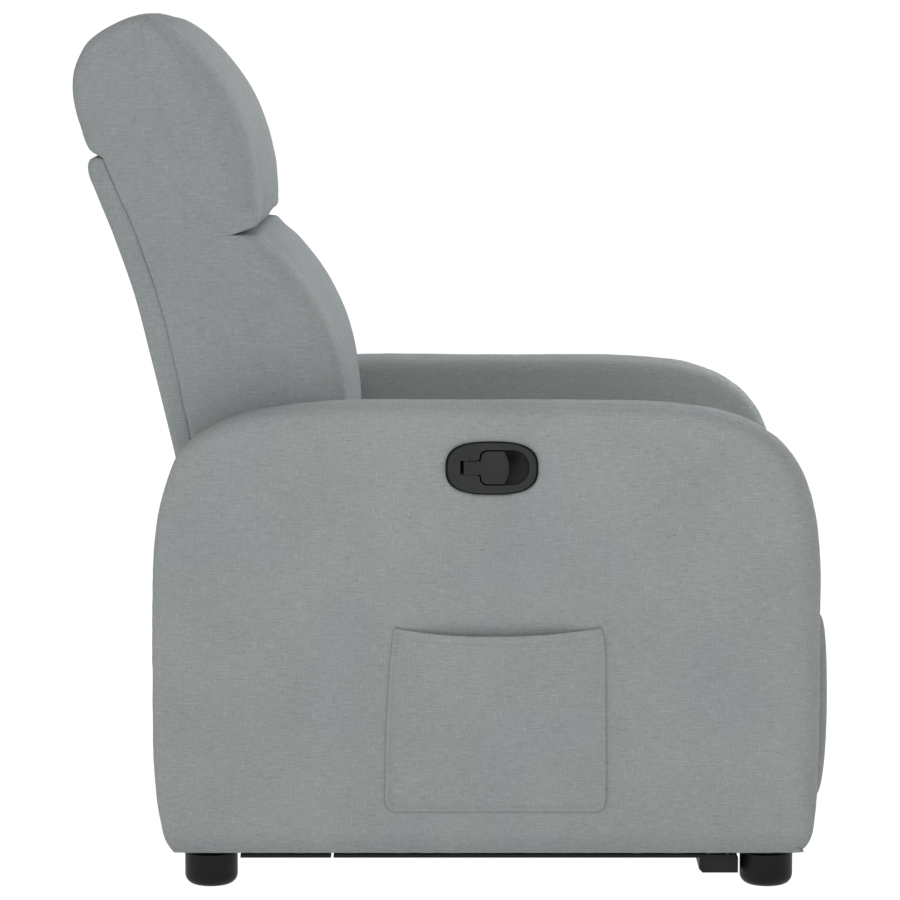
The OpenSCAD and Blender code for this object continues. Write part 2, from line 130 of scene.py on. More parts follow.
def seg_dist(Q, P, closed=True):
    """Distance of each point of Q from the line through P, and the nearest index."""
    A = P
    B = np.roll(P, -1, 0) if closed else P[1:]
    A = A if closed else P[:-1]
    best = np.full(len(Q), 1e18)
    arg = np.zeros(len(Q), int)
    d = B - A
    L = np.maximum((d * d).sum(1), 1e-12)
    for k in range(len(A)):
        w = Q - A[k]
        t = np.clip((w @ d[k]) / L[k], 0, 1)
        r = ((w - t[:, None] * d[k]) ** 2).sum(1)
        m = r < best
        best[m] = r[m]
        arg[m] = k
    return np.sqrt(best), arg


def inside2(Q, P):
    x, y = Q[:, 0], Q[:, 1]
    r = np.zeros(len(Q), bool)
    j = len(P) - 1
    for i in range(len(P)):
        xi, yi, xj, yj = P[i, 0], P[i, 1], P[j, 0], P[j, 1]
        c = (yi > y) != (yj > y)
        with np.errstate(divide="ignore", invalid="ignore"):
            r ^= c & (x < (xj - xi) * (y - yi) / (yj - yi if yj != yi else 1e-12) + xi)
        j = i
    return r


def sstep(a, b, x):
    t = np.clip((np.asarray(x, float) - a) / (b - a), 0, 1)
    return t * t * (3 - 2 * t)


def cap2(loop, step, holes=()):
    """Points and triangles that fill loop, less its holes. The loop's own points come first, then the holes'."""
    lo, hi = loop.min(0), loop.max(0)
    pts = []
    row = 0
    y = lo[1]
    while y < hi[1]:
        xs = np.arange(lo[0] + (row % 2) * step / 2, hi[0], step)
        pts.append(np.stack([xs, np.full(len(xs), y)], 1))
        y += step * 0.866
        row += 1
    Q = np.vstack(pts)
    Q = Q[inside2(Q, loop)]
    Q = Q[seg_dist(Q, loop)[0] > 0.6 * step]
    edges = [(i, (i + 1) % len(loop)) for i in range(len(loop))]
    base = [loop]
    at = len(loop)
    for h in holes:
        Q = Q[~inside2(Q, h)]
        Q = Q[seg_dist(Q, h)[0] > 0.6 * step]
        edges += [(at + i, at + (i + 1) % len(h)) for i in range(len(h))]
        at += len(h)
        base.append(h)
    pts = np.vstack(base + [Q])
    v, _, f, ov, _, _ = delaunay_2d_cdt([Vector(p) for p in pts], edges, [], 0, 1e-5, True)
    where = {}
    for i, o in enumerate(ov):
        where[i] = min(o) if o else None
    extra = []
    for i in range(len(v)):
        if where[i] is None:
            where[i] = len(pts) + len(extra)
            extra.append([v[i].x, v[i].y])
    if extra:
        pts = np.vstack([pts, arr(extra)])
    tri = arr([[where[i] for i in t] for t in f]).astype(int)
    c = pts[tri].mean(1)
    keep = inside2(c, loop)
    for h in holes:
        keep &= ~inside2(c, h)
    return pts, tri[keep]


def mesh_object(name, V, faces, smooth=True):
    me = bpy.data.meshes.new(name)
    me.from_pydata([tuple(v) for v in V], [], [tuple(int(i) for i in f) for f in faces])
    bm = bmesh.new()
    bm.from_mesh(me)
    bmesh.ops.remove_doubles(bm, verts=bm.verts, dist=1e-6)
    loose = [v for v in bm.verts if not v.link_faces]
    bmesh.ops.delete(bm, geom=loose, context="VERTS")
    bmesh.ops.recalc_face_normals(bm, faces=bm.faces)
    bm.to_mesh(me)
    bm.free()
    if smooth:
        me.polygons.foreach_set("use_smooth", [True] * len(me.polygons))
    me.update()
    ob = bpy.data.objects.new(name, me)
    SCN.collection.objects.link(ob)
    return ob


def get_co(ob):
    co = np.zeros(len(ob.data.vertices) * 3, np.float64)
    ob.data.vertices.foreach_get("co", co)
    return co.reshape(-1, 3)


def set_co(ob, co):
    ob.data.vertices.foreach_set("co", np.asarray(co, np.float32).ravel())
    ob.data.update()


def get_no(ob):
    n = np.zeros(len(ob.data.vertices) * 3, np.float32)
    ob.data.vertex_normals.foreach_get("vector", n)
    return n.reshape(-1, 3).astype(float)


def outline(parts, step):
    """A closed profile made of lines that meet at corners. Gives its points, the outward normal that each has
    on its own line, and the number of that line."""
    parts = [arr(L) for L in parts]
    order = list(range(len(parts)))
    if area2(np.vstack(parts)) < 0:
        parts = [L[::-1] for L in parts[::-1]]
        order = order[::-1]
    P, N, T = [], [], []
    for k, L in zip(order, parts):
        Q = respace(L, step, False)
        t = np.gradient(Q, axis=0)
        n = ring_smooth(np.stack([t[:, 1], -t[:, 0]], 1), 2, False)
        n /= np.maximum(np.linalg.norm(n, axis=1), 1e-9)[:, None]
        P.append(Q[:-1])
        N.append(n[:-1])
        T.append(np.full(len(Q) - 1, k))
    return np.vstack(P), np.vstack(N), np.concatenate(T)


def loft(name, P, rings, step=9.0, caps=(None, None), holes=((), ()), N=None, slide=None):
    """A closed form whose cross-sections follow the side profile P. Each ring is (x per point, inset per point).
    caps are functions of (distance in from the cap's edge, points) that give how far the flat end stands proud.
    slide are the points of a hidden face, in order: they keep to their line and end where the lines beside them do."""
    n = len(P)
    N = normals2(P) if N is None else N
    V = []

    def place(d):
        d = np.broadcast_to(d, n)
        Q = P - N * d[:, None]
        if slide is not None:
            i = np.asarray(slide)
            L = np.vstack([P[i], P[(i[-1] + 1) % n][None]])
            q = np.concatenate([[0], np.cumsum(np.linalg.norm(np.diff(L, axis=0), axis=1))])
            t = np.clip(q[:-1], d[i[0] - 1], q[-1] - d[(i[-1] + 1) % n])
            Q[i] = np.stack([np.interp(t, q, L[:, 0]), np.interp(t, q, L[:, 1])], 1) - N[i] * d[i][:, None]
        return Q

    for x, d in rings:
        Q = place(d)
        X = np.broadcast_to(x, n)
        V += [W(X[i], Q[i, 0], Q[i, 1]) for i in range(n)]
    faces = []
    for k in range(len(rings) - 1):
        for i in range(n):
            j = (i + 1) % n
            faces.append((k * n + i, k * n + j, (k + 1) * n + j, (k + 1) * n + i))
    for end in (0, 1):
        x, d = rings[0] if end == 0 else rings[-1]
        x0 = float(np.mean(np.broadcast_to(x, n)))
        Q = place(d)
        hs = [h for h in holes[end]]
        pts, tri = cap2(Q, step, hs)
        dist = seg_dist(pts, Q)[0]
        up = caps[end](dist, pts) if caps[end] else np.zeros(len(pts))
        side = 1.0 if x0 > 0 else -1.0
        if end == 0 and np.mean(np.broadcast_to(rings[-1][0], n)) > x0:
            side = -1.0
        if end == 1 and np.mean(np.broadcast_to(rings[0][0], n)) < x0:
            side = 1.0
        if end == 0 and np.mean(np.broadcast_to(rings[-1][0], n)) < x0:
            side = 1.0
        if end == 1 and np.mean(np.broadcast_to(rings[0][0], n)) > x0:
            side = -1.0
        off = (len(rings) - 1) * n if end else 0
        index = {}
        for i in range(len(pts)):
            if i < n:
                index[i] = off + i
            else:
                index[i] = len(V)
                V.append(W(x0 + side * float(up[i]), pts[i, 0], pts[i, 1]))
        faces += [tuple(index[int(i)] for i in t) for t in tri]
        at = n
        for h in hs:  # the cloth turns in at a hole's edge
            m = len(h)
            hn = normals2(ccw(h))
            prev = [index[at + i] for i in range(m)]
            for depth, inset in ((2.0, 1.2), (6.0, 1.6)):
                now = []
                for i in range(m):
                    now.append(len(V))
                    V.append(W(x0 - side * depth, h[i, 0] - hn[i, 0] * inset, h[i, 1] - hn[i, 1] * inset))
                for i in range(m):
                    j = (i + 1) % m
                    faces.append((prev[i], prev[j], now[j], now[i]))
                prev = now
            at += m
    return mesh_object(name, V, faces)


def arc_rings(xa, xb, Ra, Rb, mid, crown, steps=6, power=2.0, seam=None, Ri=None):
    """Rings from the side plane xa to xb. Ra and Rb are the roundings at both edges per point,
    crown how much lower the surface is at the edges than in the middle. seam is (how far past
    the rounding, depth per point) of the sewn line at both edges. Ri is the rounding's own radius where it
    isn't the width that its rings take up."""
    s = 1.0 if xb > xa else -1.0
    half = abs(xb - xa) / 2
    xm = (xa + xb) / 2
    groove = ((-4.0, 0.0), (-1.8, 0.35), (-0.6, 1.0), (0.6, 1.0), (1.8, 0.35), (4.0, 0.0))
    off = seam[0] + 8.0 if seam else 0.0

    def fall(x):
        return np.abs((x - xm) / half) ** power

    def turn(depth, R):
        r = R if Ri is None else Ri
        t = 1 - np.clip(depth / r, 0, 1)
        return r * (1 - np.sqrt(np.maximum(0, 1 - t * t)))

    rings = []
    for k in range(steps + 1):
        f = math.pi / 2 * (1 - k / steps)
        x = xa + s * Ra * (1 - math.sin(f))
        rings.append([x, turn(Ra * (1 - math.sin(f)), Ra) + crown * fall(x)])
    if seam:
        for o, g in groove:
            x = xa + s * (Ra + seam[0] + o)
            rings.append([x, crown * fall(x) + seam[1] * g])
    for t in np.linspace(0, 1, mid + 2)[0 if seam else 1:None if seam else -1]:
        x = (xa + s * (Ra + off)) * (1 - t) + (xb - s * (Rb + off)) * t
        rings.append([x, crown * fall(x)])
    if seam:
        for o, g in groove[::-1]:
            x = xb - s * (Rb + seam[0] + o)
            rings.append([x, crown * fall(x) + seam[1] * g])
    for k in range(steps + 1):
        f = math.pi / 2 * (k / steps)
        x = xb - s * Rb * (1 - math.sin(f))
        rings.append([x, turn(Rb * (1 - math.sin(f)), Rb) + crown * fall(x)])
    return rings


def by_normal(P, front, up, back, down):
    N = normals2(P, 4)
    w = N ** 2
    v = w[:, 0] * np.where(N[:, 0] > 0, front, back) + w[:, 1] * np.where(N[:, 1] > 0, up, down)
    return v


def pick(P, keys, n=6):
    """A value per point of P from (u, z, value) keys, each ruling where it is nearest, then evened out."""
    K = arr(keys)
    d = ((P[:, None, :] - K[None, :, :2]) ** 2).sum(2)
    w = 1 / (d + 4.0) ** 2
    v = (w * K[None, :, 2]).sum(1) / w.sum(1)
    return ring_smooth(v, n)


def fbm(p, scale, seed=0.0, octaves=2):
    v, a, s = 0.0, 1.0, scale
    q = Vector(p)
    for _ in range(octaves):
        v += a * noise.noise(q * s + Vector((seed, seed * 1.7, -seed)))
        a *= 0.5
        s *= 2.03
    return v


def soften(ob, amp, scale=9.0, seed=1.0, mask=None):
    """Uneven padding: each point moves along its normal by up to amp millimetres."""
    co, no = get_co(ob), get_no(ob)
    h = arr([fbm(c, scale, seed) for c in co])
    if mask is not None:
        h = h * mask(co)
    set_co(ob, co + no * (h * amp / 1000)[:, None])


def pucker(ob, line, amp=0.5, wave=16.0, reach=16.0, seed=3.0):
    """Small gathers that run away from a seam. line is a list of Vectors in metres."""
    L = arr([tuple(p) for p in line])
    s = np.concatenate([[0], np.cumsum(np.linalg.norm(np.diff(L, axis=0), axis=1))]) * 1000
    tree = KDTree(len(L))
    for i, p in enumerate(L):
        tree.insert(p, i)
    tree.balance()
    co, no = get_co(ob), get_no(ob)
    h = np.zeros(len(co))
    for i, c in enumerate(co):
        _, k, d = tree.find(c)
        d *= 1000
        if d < reach * 3:
            ph = s[k] / wave
            w = noise.noise(Vector((ph, d / (reach * 2.5), seed))) + 0.5 * noise.noise(Vector((ph * 2.1, d / (reach * 2), seed + 5)))
            h[i] = w * amp * math.exp(-(d / reach) ** 2) * (1 - math.exp(-(d / 3.0) ** 2))
    set_co(ob, co + no * (h / 1000)[:, None])


# ------------------------------------------------------------------ camera
cam_data = bpy.data.cameras.new("camera")
cam_data.sensor_width = 36.0
cam_data.lens = 156.8
cam_data.shift_x = -0.00833
cam_data.clip_end = 200
cam = bpy.data.objects.new("camera", cam_data)
SCN.collection.objects.link(cam)
cam.location = (-4.785, MID, 0.995 + UP / 1000)
look = Vector((math.cos(math.radians(6.303)), 0, -math.sin(math.radians(6.303))))
cam.rotation_mode = "QUATERNION"
cam.rotation_quaternion = look.to_track_quat("-Z", "Y")
SCN.camera = cam


# --------------------------------------------------------------- materials
class Net:
    """A short way to write a node tree."""

    def __init__(self, name):
        self.mat = bpy.data.materials.new(name)
        self.mat.use_nodes = True
        self.t = self.mat.node_tree
        self.t.nodes.clear()
        self.out = self.n("ShaderNodeOutputMaterial")
        self.b = self.n("ShaderNodeBsdfPrincipled")
        self.t.links.new(self.b.outputs[0], self.out.inputs[0])

    def n(self, kind, **kw):
        x = self.t.nodes.new(kind)
        for k, v in kw.items():
            setattr(x, k, v)
        return x

    def put(self, socket, v):
        if isinstance(v, bpy.types.NodeSocket):
            self.t.links.new(v, socket)
        elif v is not None:
            socket.default_value = v

    def m(self, op, a, b=None, c=None, clamp=False):
        x = self.n("ShaderNodeMath", operation=op, use_clamp=clamp)
        self.put(x.inputs[0], a)
        if b is not None:
            self.put(x.inputs[1], b)
        if c is not None:
            self.put(x.inputs[2], c)
        return x.outputs[0]

    def v(self, op, a, b=None, scale=None):
        x = self.n("ShaderNodeVectorMath", operation=op)
        self.put(x.inputs[0], a)
        if b is not None:
            self.put(x.inputs[1], b)
        if scale is not None:
            self.put(x.inputs[3], scale)
        return x.outputs["Value"] if op in ("LENGTH", "DOT_PRODUCT", "DISTANCE") else x.outputs[0]

    def xyz(self, a):
        x = self.n("ShaderNodeSeparateXYZ")
        self.put(x.inputs[0], a)
        return x.outputs[0], x.outputs[1], x.outputs[2]

    def vec(self, a, b, c=0.0):
        x = self.n("ShaderNodeCombineXYZ")
        for i, v in enumerate((a, b, c)):
            self.put(x.inputs[i], v)
        return x.outputs[0]

    def noise(self, vec, scale=1.0, detail=2.0, rough=0.5, dims="3D", lac=2.0):
        x = self.n("ShaderNodeTexNoise", noise_dimensions=dims)
        self.put(x.inputs["Vector"], vec)
        x.inputs["Scale"].default_value = scale
        x.inputs["Detail"].default_value = detail
        x.inputs["Roughness"].default_value = rough
        x.inputs["Lacunarity"].default_value = lac
        return x.outputs[0]

    def range(self, v, a, b, c=0.0, d=1.0, smooth=False):
        x = self.n("ShaderNodeMapRange", clamp=True)
        if smooth:
            x.interpolation_type = "SMOOTHSTEP"
        self.put(x.inputs[0], v)
        for i, k in enumerate((a, b, c, d)):
            x.inputs[1 + i].default_value = k
        return x.outputs[0]

    def mix(self, f, a, b):
        x = self.n("ShaderNodeMix", data_type="RGBA")
        self.put(x.inputs[0], f)
        for i, c in ((6, a), (7, b)):
            if isinstance(c, (tuple, list)):
                x.inputs[i].default_value = (*c[:3], 1.0)
            else:
                self.put(x.inputs[i], c)
        return x.outputs[2]

    def bump(self, h, strength=0.5, distance=0.001, normal=None):
        x = self.n("ShaderNodeBump")
        x.inputs["Strength"].default_value = strength
        x.inputs["Distance"].default_value = distance
        self.put(x.inputs["Height"], h)
        if normal is not None:
            self.put(x.inputs["Normal"], normal)
        return x.outputs[0]


def weave(name, dark, base, light, pitch=0.85, sheen=0.02, contrast=0.62, rest=False, shade_by_height=False, hem=False):
    """Linen-look cloth: plain weave with slubs along both threads. It can paint shade by height: darker towards the
    arms' lower edge, and on the back lighter low down and darker higher up.
    """
    g = Net(name)
    if rest:
        pa = g.n("ShaderNodeAttribute", attribute_name="rest_co").outputs["Vector"]
        na = g.n("ShaderNodeAttribute", attribute_name="rest_no").outputs["Vector"]
    else:
        tc = g.n("ShaderNodeTexCoord")
        pa, na = tc.outputs["Object"], tc.outputs["Normal"]
    mm = g.v("SCALE", pa, scale=1000.0)
    drift = g.n("ShaderNodeTexNoise", noise_dimensions="3D")
    g.put(drift.inputs["Vector"], pa)
    drift.inputs["Scale"].default_value = 14.0
    drift.inputs["Detail"].default_value = 1.0
    bend = g.v("SCALE", g.v("SUBTRACT", drift.outputs[1], (0.5, 0.5, 0.5)), scale=5.0)
    x, y, z = g.xyz(g.v("ADD", mm, bend))
    nx, ny, nz = g.xyz(g.v("ABSOLUTE", na))
    isx = g.m("GREATER_THAN", nx, g.m("MAXIMUM", ny, nz))
    isz = g.m("GREATER_THAN", nz, g.m("MAXIMUM", nx, ny))

    def sel(f, a, b):
        k = g.n("ShaderNodeMix", data_type="FLOAT")
        g.put(k.inputs[0], f)
        g.put(k.inputs[2], a)
        g.put(k.inputs[3], b)
        return k.outputs[0]

    s = sel(isx, x, y)
    t = sel(isz, z, y)
    k = math.pi / pitch
    ws = g.m("SINE", g.m("MULTIPLY", s, k))
    wt = g.m("SINE", g.m("MULTIPLY", t, k))
    over = g.m("MULTIPLY", ws, wt)                      # which thread lies on top
    round_s = g.m("ABSOLUTE", g.m("SINE", g.m("MULTIPLY", s, k)))
    round_t = g.m("ABSOLUTE", g.m("SINE", g.m("MULTIPLY", t, k)))
    slub_h = g.noise(g.vec(g.m("MULTIPLY", s, 0.105), g.m("MULTIPLY", t, 0.78), 3.0), 1.0, 2.0, 0.6)
    slub_v = g.noise(g.vec(g.m("MULTIPLY", s, 0.80), g.m("MULTIPLY", t, 0.125), 9.0), 1.0, 2.0, 0.6)
    thick_h = g.range(g.noise(g.vec(g.m("MULTIPLY", s, 0.055), g.m("MULTIPLY", t, 0.50), 21.0), 1.0, 1.0, 0.5), 0.56, 0.76)
    thick_v = g.range(g.noise(g.vec(g.m("MULTIPLY", s, 0.52), g.m("MULTIPLY", t, 0.065), 33.0), 1.0, 1.0, 0.5), 0.58, 0.77)
    thin = g.range(g.noise(g.vec(g.m("MULTIPLY", s, 0.07), g.m("MULTIPLY", t, 0.46), 47.0), 1.0, 1.0, 0.5), 0.57, 0.77)
    fine = g.noise(g.vec(g.m("MULTIPLY", s, 0.42), g.m("MULTIPLY", t, 0.42), 5.0), 1.0, 2.0, 0.6)
    cloud = g.noise(pa, 9.0, 3.0, 0.55)
    lift = g.m("ADD", g.m("MULTIPLY", g.m("SUBTRACT", slub_h, 0.5), 0.62 * contrast),
               g.m("MULTIPLY", g.m("SUBTRACT", slub_v, 0.5), 0.50 * contrast))
    lift = g.m("ADD", lift, g.m("MULTIPLY", g.m("SUBTRACT", fine, 0.5), 0.55 * contrast))
    lift = g.m("ADD", lift, g.m("MULTIPLY", g.m("SUBTRACT", cloud, 0.5), 0.22))
    lift = g.m("ADD", lift, g.m("MULTIPLY", g.m("ADD", thick_h, thick_v), 0.27 * contrast))
    lift = g.m("SUBTRACT", lift, g.m("MULTIPLY", thin, 0.27 * contrast))
    lift = g.m("ADD", lift, g.m("MULTIPLY", over, 0.03))
    tone = g.m("ADD", lift, 0.5, clamp=True)
    low = g.mix(g.range(tone, 0.0, 0.5), dark, base)
    col = g.mix(g.range(tone, 0.5, 1.0), low, light)
    patch = g.range(g.noise(pa, 6.5, 1.0, 0.5), 0.46, 0.64, 0.0, 1.0, True)
    col = g.mix(patch, col, g.v("MULTIPLY", col, (0.965, 0.975, 1.005)))
    # painted shade: the cloth darkens towards the arms' lower edge, by height
    if hem:
        col = g.v("SCALE", col, scale=g.m("MULTIPLY", g.range(g.xyz(pa)[2], 0.040, 0.072, 0.84, 1.0, True),
                                          g.range(g.xyz(pa)[2], 0.0375, 0.044, 0.86, 1.0)))
    # painted light and shade: the cloth is lighter low down and darker higher up, by height
    if shade_by_height:
        col = g.v("SCALE", col, scale=g.range(g.xyz(pa)[2], 0.50, 0.82, 1.085, 0.985))
    g.put(g.b.inputs["Base Color"], col)
    g.put(g.b.inputs["Roughness"], g.range(tone, 0.0, 1.0, 0.96, 0.82))
    g.b.inputs["Specular IOR Level"].default_value = 0.06
    g.b.inputs["Sheen Weight"].default_value = sheen
    g.b.inputs["Sheen Roughness"].default_value = 0.45
    g.b.inputs["Sheen Tint"].default_value = (0.93, 0.97, 1.0, 1.0)
    h = g.m("ADD", g.m("MULTIPLY", g.m("MAXIMUM", round_s, round_t), 0.35), g.m("MULTIPLY", over, 0.25))
    h = g.m("ADD", h, g.m("MULTIPLY", g.m("ADD", slub_h, thick_h), 0.45))
    h = g.m("ADD", h, g.m("MULTIPLY", g.m("ADD", slub_v, thick_v), 0.45))
    g.put(g.b.inputs["Normal"], g.bump(h, 0.42, 0.0006))
    return g.mat


FAB = weave("linen_weave", (0.158, 0.174, 0.170), (0.274, 0.291, 0.286), (0.392, 0.407, 0.400))
# the arms' linen, with painted shade towards their lower edge
FAB_ARM = weave("linen_weave_arm", (0.158, 0.174, 0.170), (0.274, 0.291, 0.286), (0.392, 0.407, 0.400), hem=True)
# the back pieces' linen: a darker copy of the same cloth, painted shade, with painted light low down
FAB_BACK_SHADED = weave("linen_weave_back_shaded", (0.139, 0.154, 0.156), (0.243, 0.260, 0.263), (0.348, 0.364, 0.366), shade_by_height=True)


def thread_mat():
    g = Net("sewing_thread")
    tc = g.n("ShaderNodeTexCoord")
    n1 = g.noise(tc.outputs["Object"], 900.0, 1.0)
    g.put(g.b.inputs["Base Color"], g.mix(n1, (0.25, 0.27, 0.27), (0.36, 0.38, 0.375)))
    g.b.inputs["Roughness"].default_value = 0.6
    g.b.inputs["Sheen Weight"].default_value = 0.2
    w = g.n("ShaderNodeTexWave")
    g.put(w.inputs["Vector"], tc.outputs["Object"])
    w.inputs["Scale"].default_value = 900.0
    g.put(g.b.inputs["Normal"], g.bump(w.outputs[1], 0.3, 0.0002))
    return g.mat


def plastic(name, col, rough=0.5, grain=2600.0, strength=0.18, spec=0.4, rim=None):
    """Moulded plastic. rim is (u, z, length, height, power) of an oval, in mm: the colour falls off at its edge,
    painted shade of the gap round the part.
    """
    g = Net(name)
    tc = g.n("ShaderNodeTexCoord")
    p = tc.outputs["Object"]
    n1 = g.noise(p, grain, 2.0, 0.6)
    n2 = g.noise(p, 24.0, 3.0, 0.6)
    wear = g.n("ShaderNodeNewGeometry").outputs["Pointiness"]
    c = g.mix(g.range(n2, 0.3, 0.7), tuple(x * 0.85 for x in col), tuple(x * 1.2 for x in col))
    c = g.mix(g.range(wear, 0.52, 0.62, 0.0, 0.35), c, tuple(min(1, x * 2.2) for x in col))
    g.put(g.b.inputs["Specular IOR Level"], spec)
    if rim:
        _, y, z = g.xyz(p)
        a = g.m("DIVIDE", g.m("ABSOLUTE", g.m("SUBTRACT", y, MID - rim[0] / 1000)), rim[2] / 2000)
        b = g.m("DIVIDE", g.m("ABSOLUTE", g.m("SUBTRACT", z, (rim[1] + UP) / 1000)), rim[3] / 2000)
        f = g.m("POWER", g.m("ADD", g.m("POWER", a, rim[4]), g.m("POWER", b, rim[4])), 1 / rim[4])
        # painted shade: colour and gloss fall off at the oval's edge
        edge = g.range(f, 0.925, 0.975, smooth=True)
        c = g.mix(edge, c, tuple(x * 0.22 for x in col))
        g.put(g.b.inputs["Specular IOR Level"], g.range(edge, 0, 1, spec, 0.05))
    g.put(g.b.inputs["Base Color"], c)
    g.put(g.b.inputs["Roughness"], g.range(n2, 0.25, 0.75, rough - 0.07, rough + 0.09))
    g.put(g.b.inputs["Normal"], g.bump(n1, strength, 0.0002))
    return g.mat


def steel(name, col, rough, metal, flake=1400.0, strength=0.12, spec=0.5):
    g = Net(name)
    tc = g.n("ShaderNodeTexCoord")
    p = tc.outputs["Object"]
    n1 = g.noise(p, flake, 2.0, 0.55)
    n2 = g.noise(p, 30.0, 4.0, 0.65)
    c = g.mix(g.range(n2, 0.3, 0.7), tuple(x * 0.8 for x in col), tuple(min(1, x * 1.15) for x in col))
    g.put(g.b.inputs["Base Color"], c)
    g.b.inputs["Metallic"].default_value = metal
    g.b.inputs["Specular IOR Level"].default_value = spec
    g.put(g.b.inputs["Roughness"], g.range(n2, 0.25, 0.75, rough - 0.08, rough + 0.1))
    g.put(g.b.inputs["Normal"], g.bump(n1, strength, 0.0002))
    return g.mat


def wood(name, a, b, ply=False):
    g = Net(name)
    tc = g.n("ShaderNodeTexCoord")
    x, y, z = g.xyz(tc.outputs["Object"])
    if ply:
        q = g.vec(g.m("MULTIPLY", x, 60.0), g.m("MULTIPLY", y, 5.0), g.m("MULTIPLY", z, 60.0))
    else:
        q = g.vec(g.m("MULTIPLY", x, 4.0), g.m("MULTIPLY", y, 70.0), g.m("MULTIPLY", z, 70.0))
    n1 = g.noise(q, 1.0, 5.0, 0.6)
    n2 = g.noise(tc.outputs["Object"], 260.0, 3.0, 0.6)
    f = g.range(g.m("ADD", n1, g.m("MULTIPLY", g.m("SUBTRACT", n2, 0.5), 0.25)), 0.3, 0.7)
    g.put(g.b.inputs["Base Color"], g.mix(f, a, b))
    g.put(g.b.inputs["Roughness"], g.range(n1, 0.2, 0.8, 0.62, 0.8))
    g.put(g.b.inputs["Normal"], g.bump(f, 0.2, 0.0004))
    return g.mat


def webbing(name):
    g = Net(name)
    tc = g.n("ShaderNodeTexCoord")
    x, y, z = g.xyz(g.v("SCALE", tc.outputs["Object"], scale=1000.0))
    a = g.m("SINE", g.m("MULTIPLY", g.m("ADD", x, z), 2.1))
    b = g.m("SINE", g.m("MULTIPLY", g.m("SUBTRACT", x, z), 2.1))
    h = g.m("MULTIPLY", a, b)
    g.put(g.b.inputs["Base Color"], g.mix(g.range(h, -1, 1), (0.012, 0.012, 0.013), (0.05, 0.05, 0.052)))
    g.b.inputs["Roughness"].default_value = 0.8
    g.put(g.b.inputs["Normal"], g.bump(h, 0.5, 0.0006))
    return g.mat


FAB_DARK = weave("black_backing", (0.008, 0.008, 0.009), (0.020, 0.020, 0.021), (0.040, 0.040, 0.042), pitch=0.7)
M_THREAD = thread_mat()
h_lo, h_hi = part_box("handle_bezel")
HU = (MID - (h_lo.y + h_hi.y) / 2) * 1000
HZ = (h_lo.z + h_hi.z) / 2 * 1000 - UP
HL, HH = (h_hi.y - h_lo.y) * 1000, (h_hi.z - h_lo.z) * 1000
# the bezel's outline is painted darker: painted shade of the gap round it
M_BEZEL = plastic("handle_plastic", (0.0245, 0.0262, 0.0258), 0.55, spec=0.2, rim=(HU, HZ, HL, HH, 2.75))
M_PADDLE = plastic("paddle_plastic", (0.0235, 0.0235, 0.0235), 0.5, spec=0.2)
# the finger cup is a lighter copy of the handle's black plastic: painted light against the shade in the well
M_CUP = plastic("cup_plastic", (0.047, 0.0475, 0.0475), 0.6, spec=0.2)
M_FOOT = plastic("foot_plastic", (0.0062, 0.0063, 0.0063), 0.5, 1800.0, 0.25, spec=0.15)
M_BLACK = steel("powder_coat", (0.0115, 0.0118, 0.0118), 0.5, 0.0, 1200.0, 0.25, spec=0.2)
M_LINK = steel("dark_steel", (0.10, 0.10, 0.105), 0.38, 0.85)
M_ZINC = steel("zinc", (0.60, 0.60, 0.59), 0.34, 1.0)
M_SPRING = steel("spring_wire", (0.28, 0.28, 0.27), 0.4, 1.0)
M_CABLE = plastic("cable_sheath", (0.018, 0.018, 0.019), 0.42, 900.0, 0.1)
M_PINE = wood("pine", (0.50, 0.33, 0.17), (0.66, 0.48, 0.28))
M_PLY = wood("plywood", (0.46, 0.32, 0.18), (0.62, 0.46, 0.28), True)
M_WEB = webbing("webbing")


def give(ob, mat):
    ob.data.materials.clear()
    ob.data.materials.append(mat)
    return ob


# --------------------------------------------------------------- stitching
def stitches(name, paths, pitch=4.4, length=3.1, r=0.32, sink=0.35, mat=None):
    """Thread stitches along lines. Each path is (points, outward normals), in metres."""
    V, F = [], []
    for pts, nor in paths:
        P, N = arr([tuple(p) for p in pts]), arr([tuple(n) for n in nor])
        s = np.concatenate([[0], np.cumsum(np.linalg.norm(np.diff(P, axis=0), axis=1))]) * 1000
        n = int(s[-1] // pitch)
        for k in range(n):
            a = (k + 0.5) * pitch - length / 2
            tt = np.linspace(a, a + length, 5)
            c = np.stack([np.interp(tt, s, P[:, j]) for j in range(3)], 1)
            m = np.stack([np.interp(tt, s, N[:, j]) for j in range(3)], 1)
            m /= np.linalg.norm(m, axis=1)[:, None]
            d = np.gradient(c, axis=0)
            d /= np.maximum(np.linalg.norm(d, axis=1), 1e-9)[:, None]
            b = np.cross(d, m)
            base = len(V)
            lift = np.array([-1.6, -0.1, 0.25, -0.1, -1.6]) * r
            rad = np.array([0.45, 0.95, 1.0, 0.95, 0.45]) * r
            for i in range(5):
                o = c[i] + m[i] * ((r - sink + lift[i]) / 1000)
                for q in range(6):
                    f = 2 * math.pi * q / 6
                    V.append(o + (b[i] * math.cos(f) + m[i] * math.sin(f)) * rad[i] / 1000)
            for i in range(4):
                for q in range(6):
                    w = (q + 1) % 6
                    F.append((base + i * 6 + q, base + i * 6 + w, base + (i + 1) * 6 + w, base + (i + 1) * 6 + q))
            F.append(tuple(base + q for q in range(5, -1, -1)))
            F.append(tuple(base + 24 + q for q in range(6)))
    me = bpy.data.meshes.new(name)
    me.from_pydata([tuple(v) for v in V], [], F)
    me.polygons.foreach_set("use_smooth", [True] * len(me.polygons))
    me.update()
    ob = bpy.data.objects.new(name, me)
    SCN.collection.objects.link(ob)
    return give(ob, mat or M_THREAD)


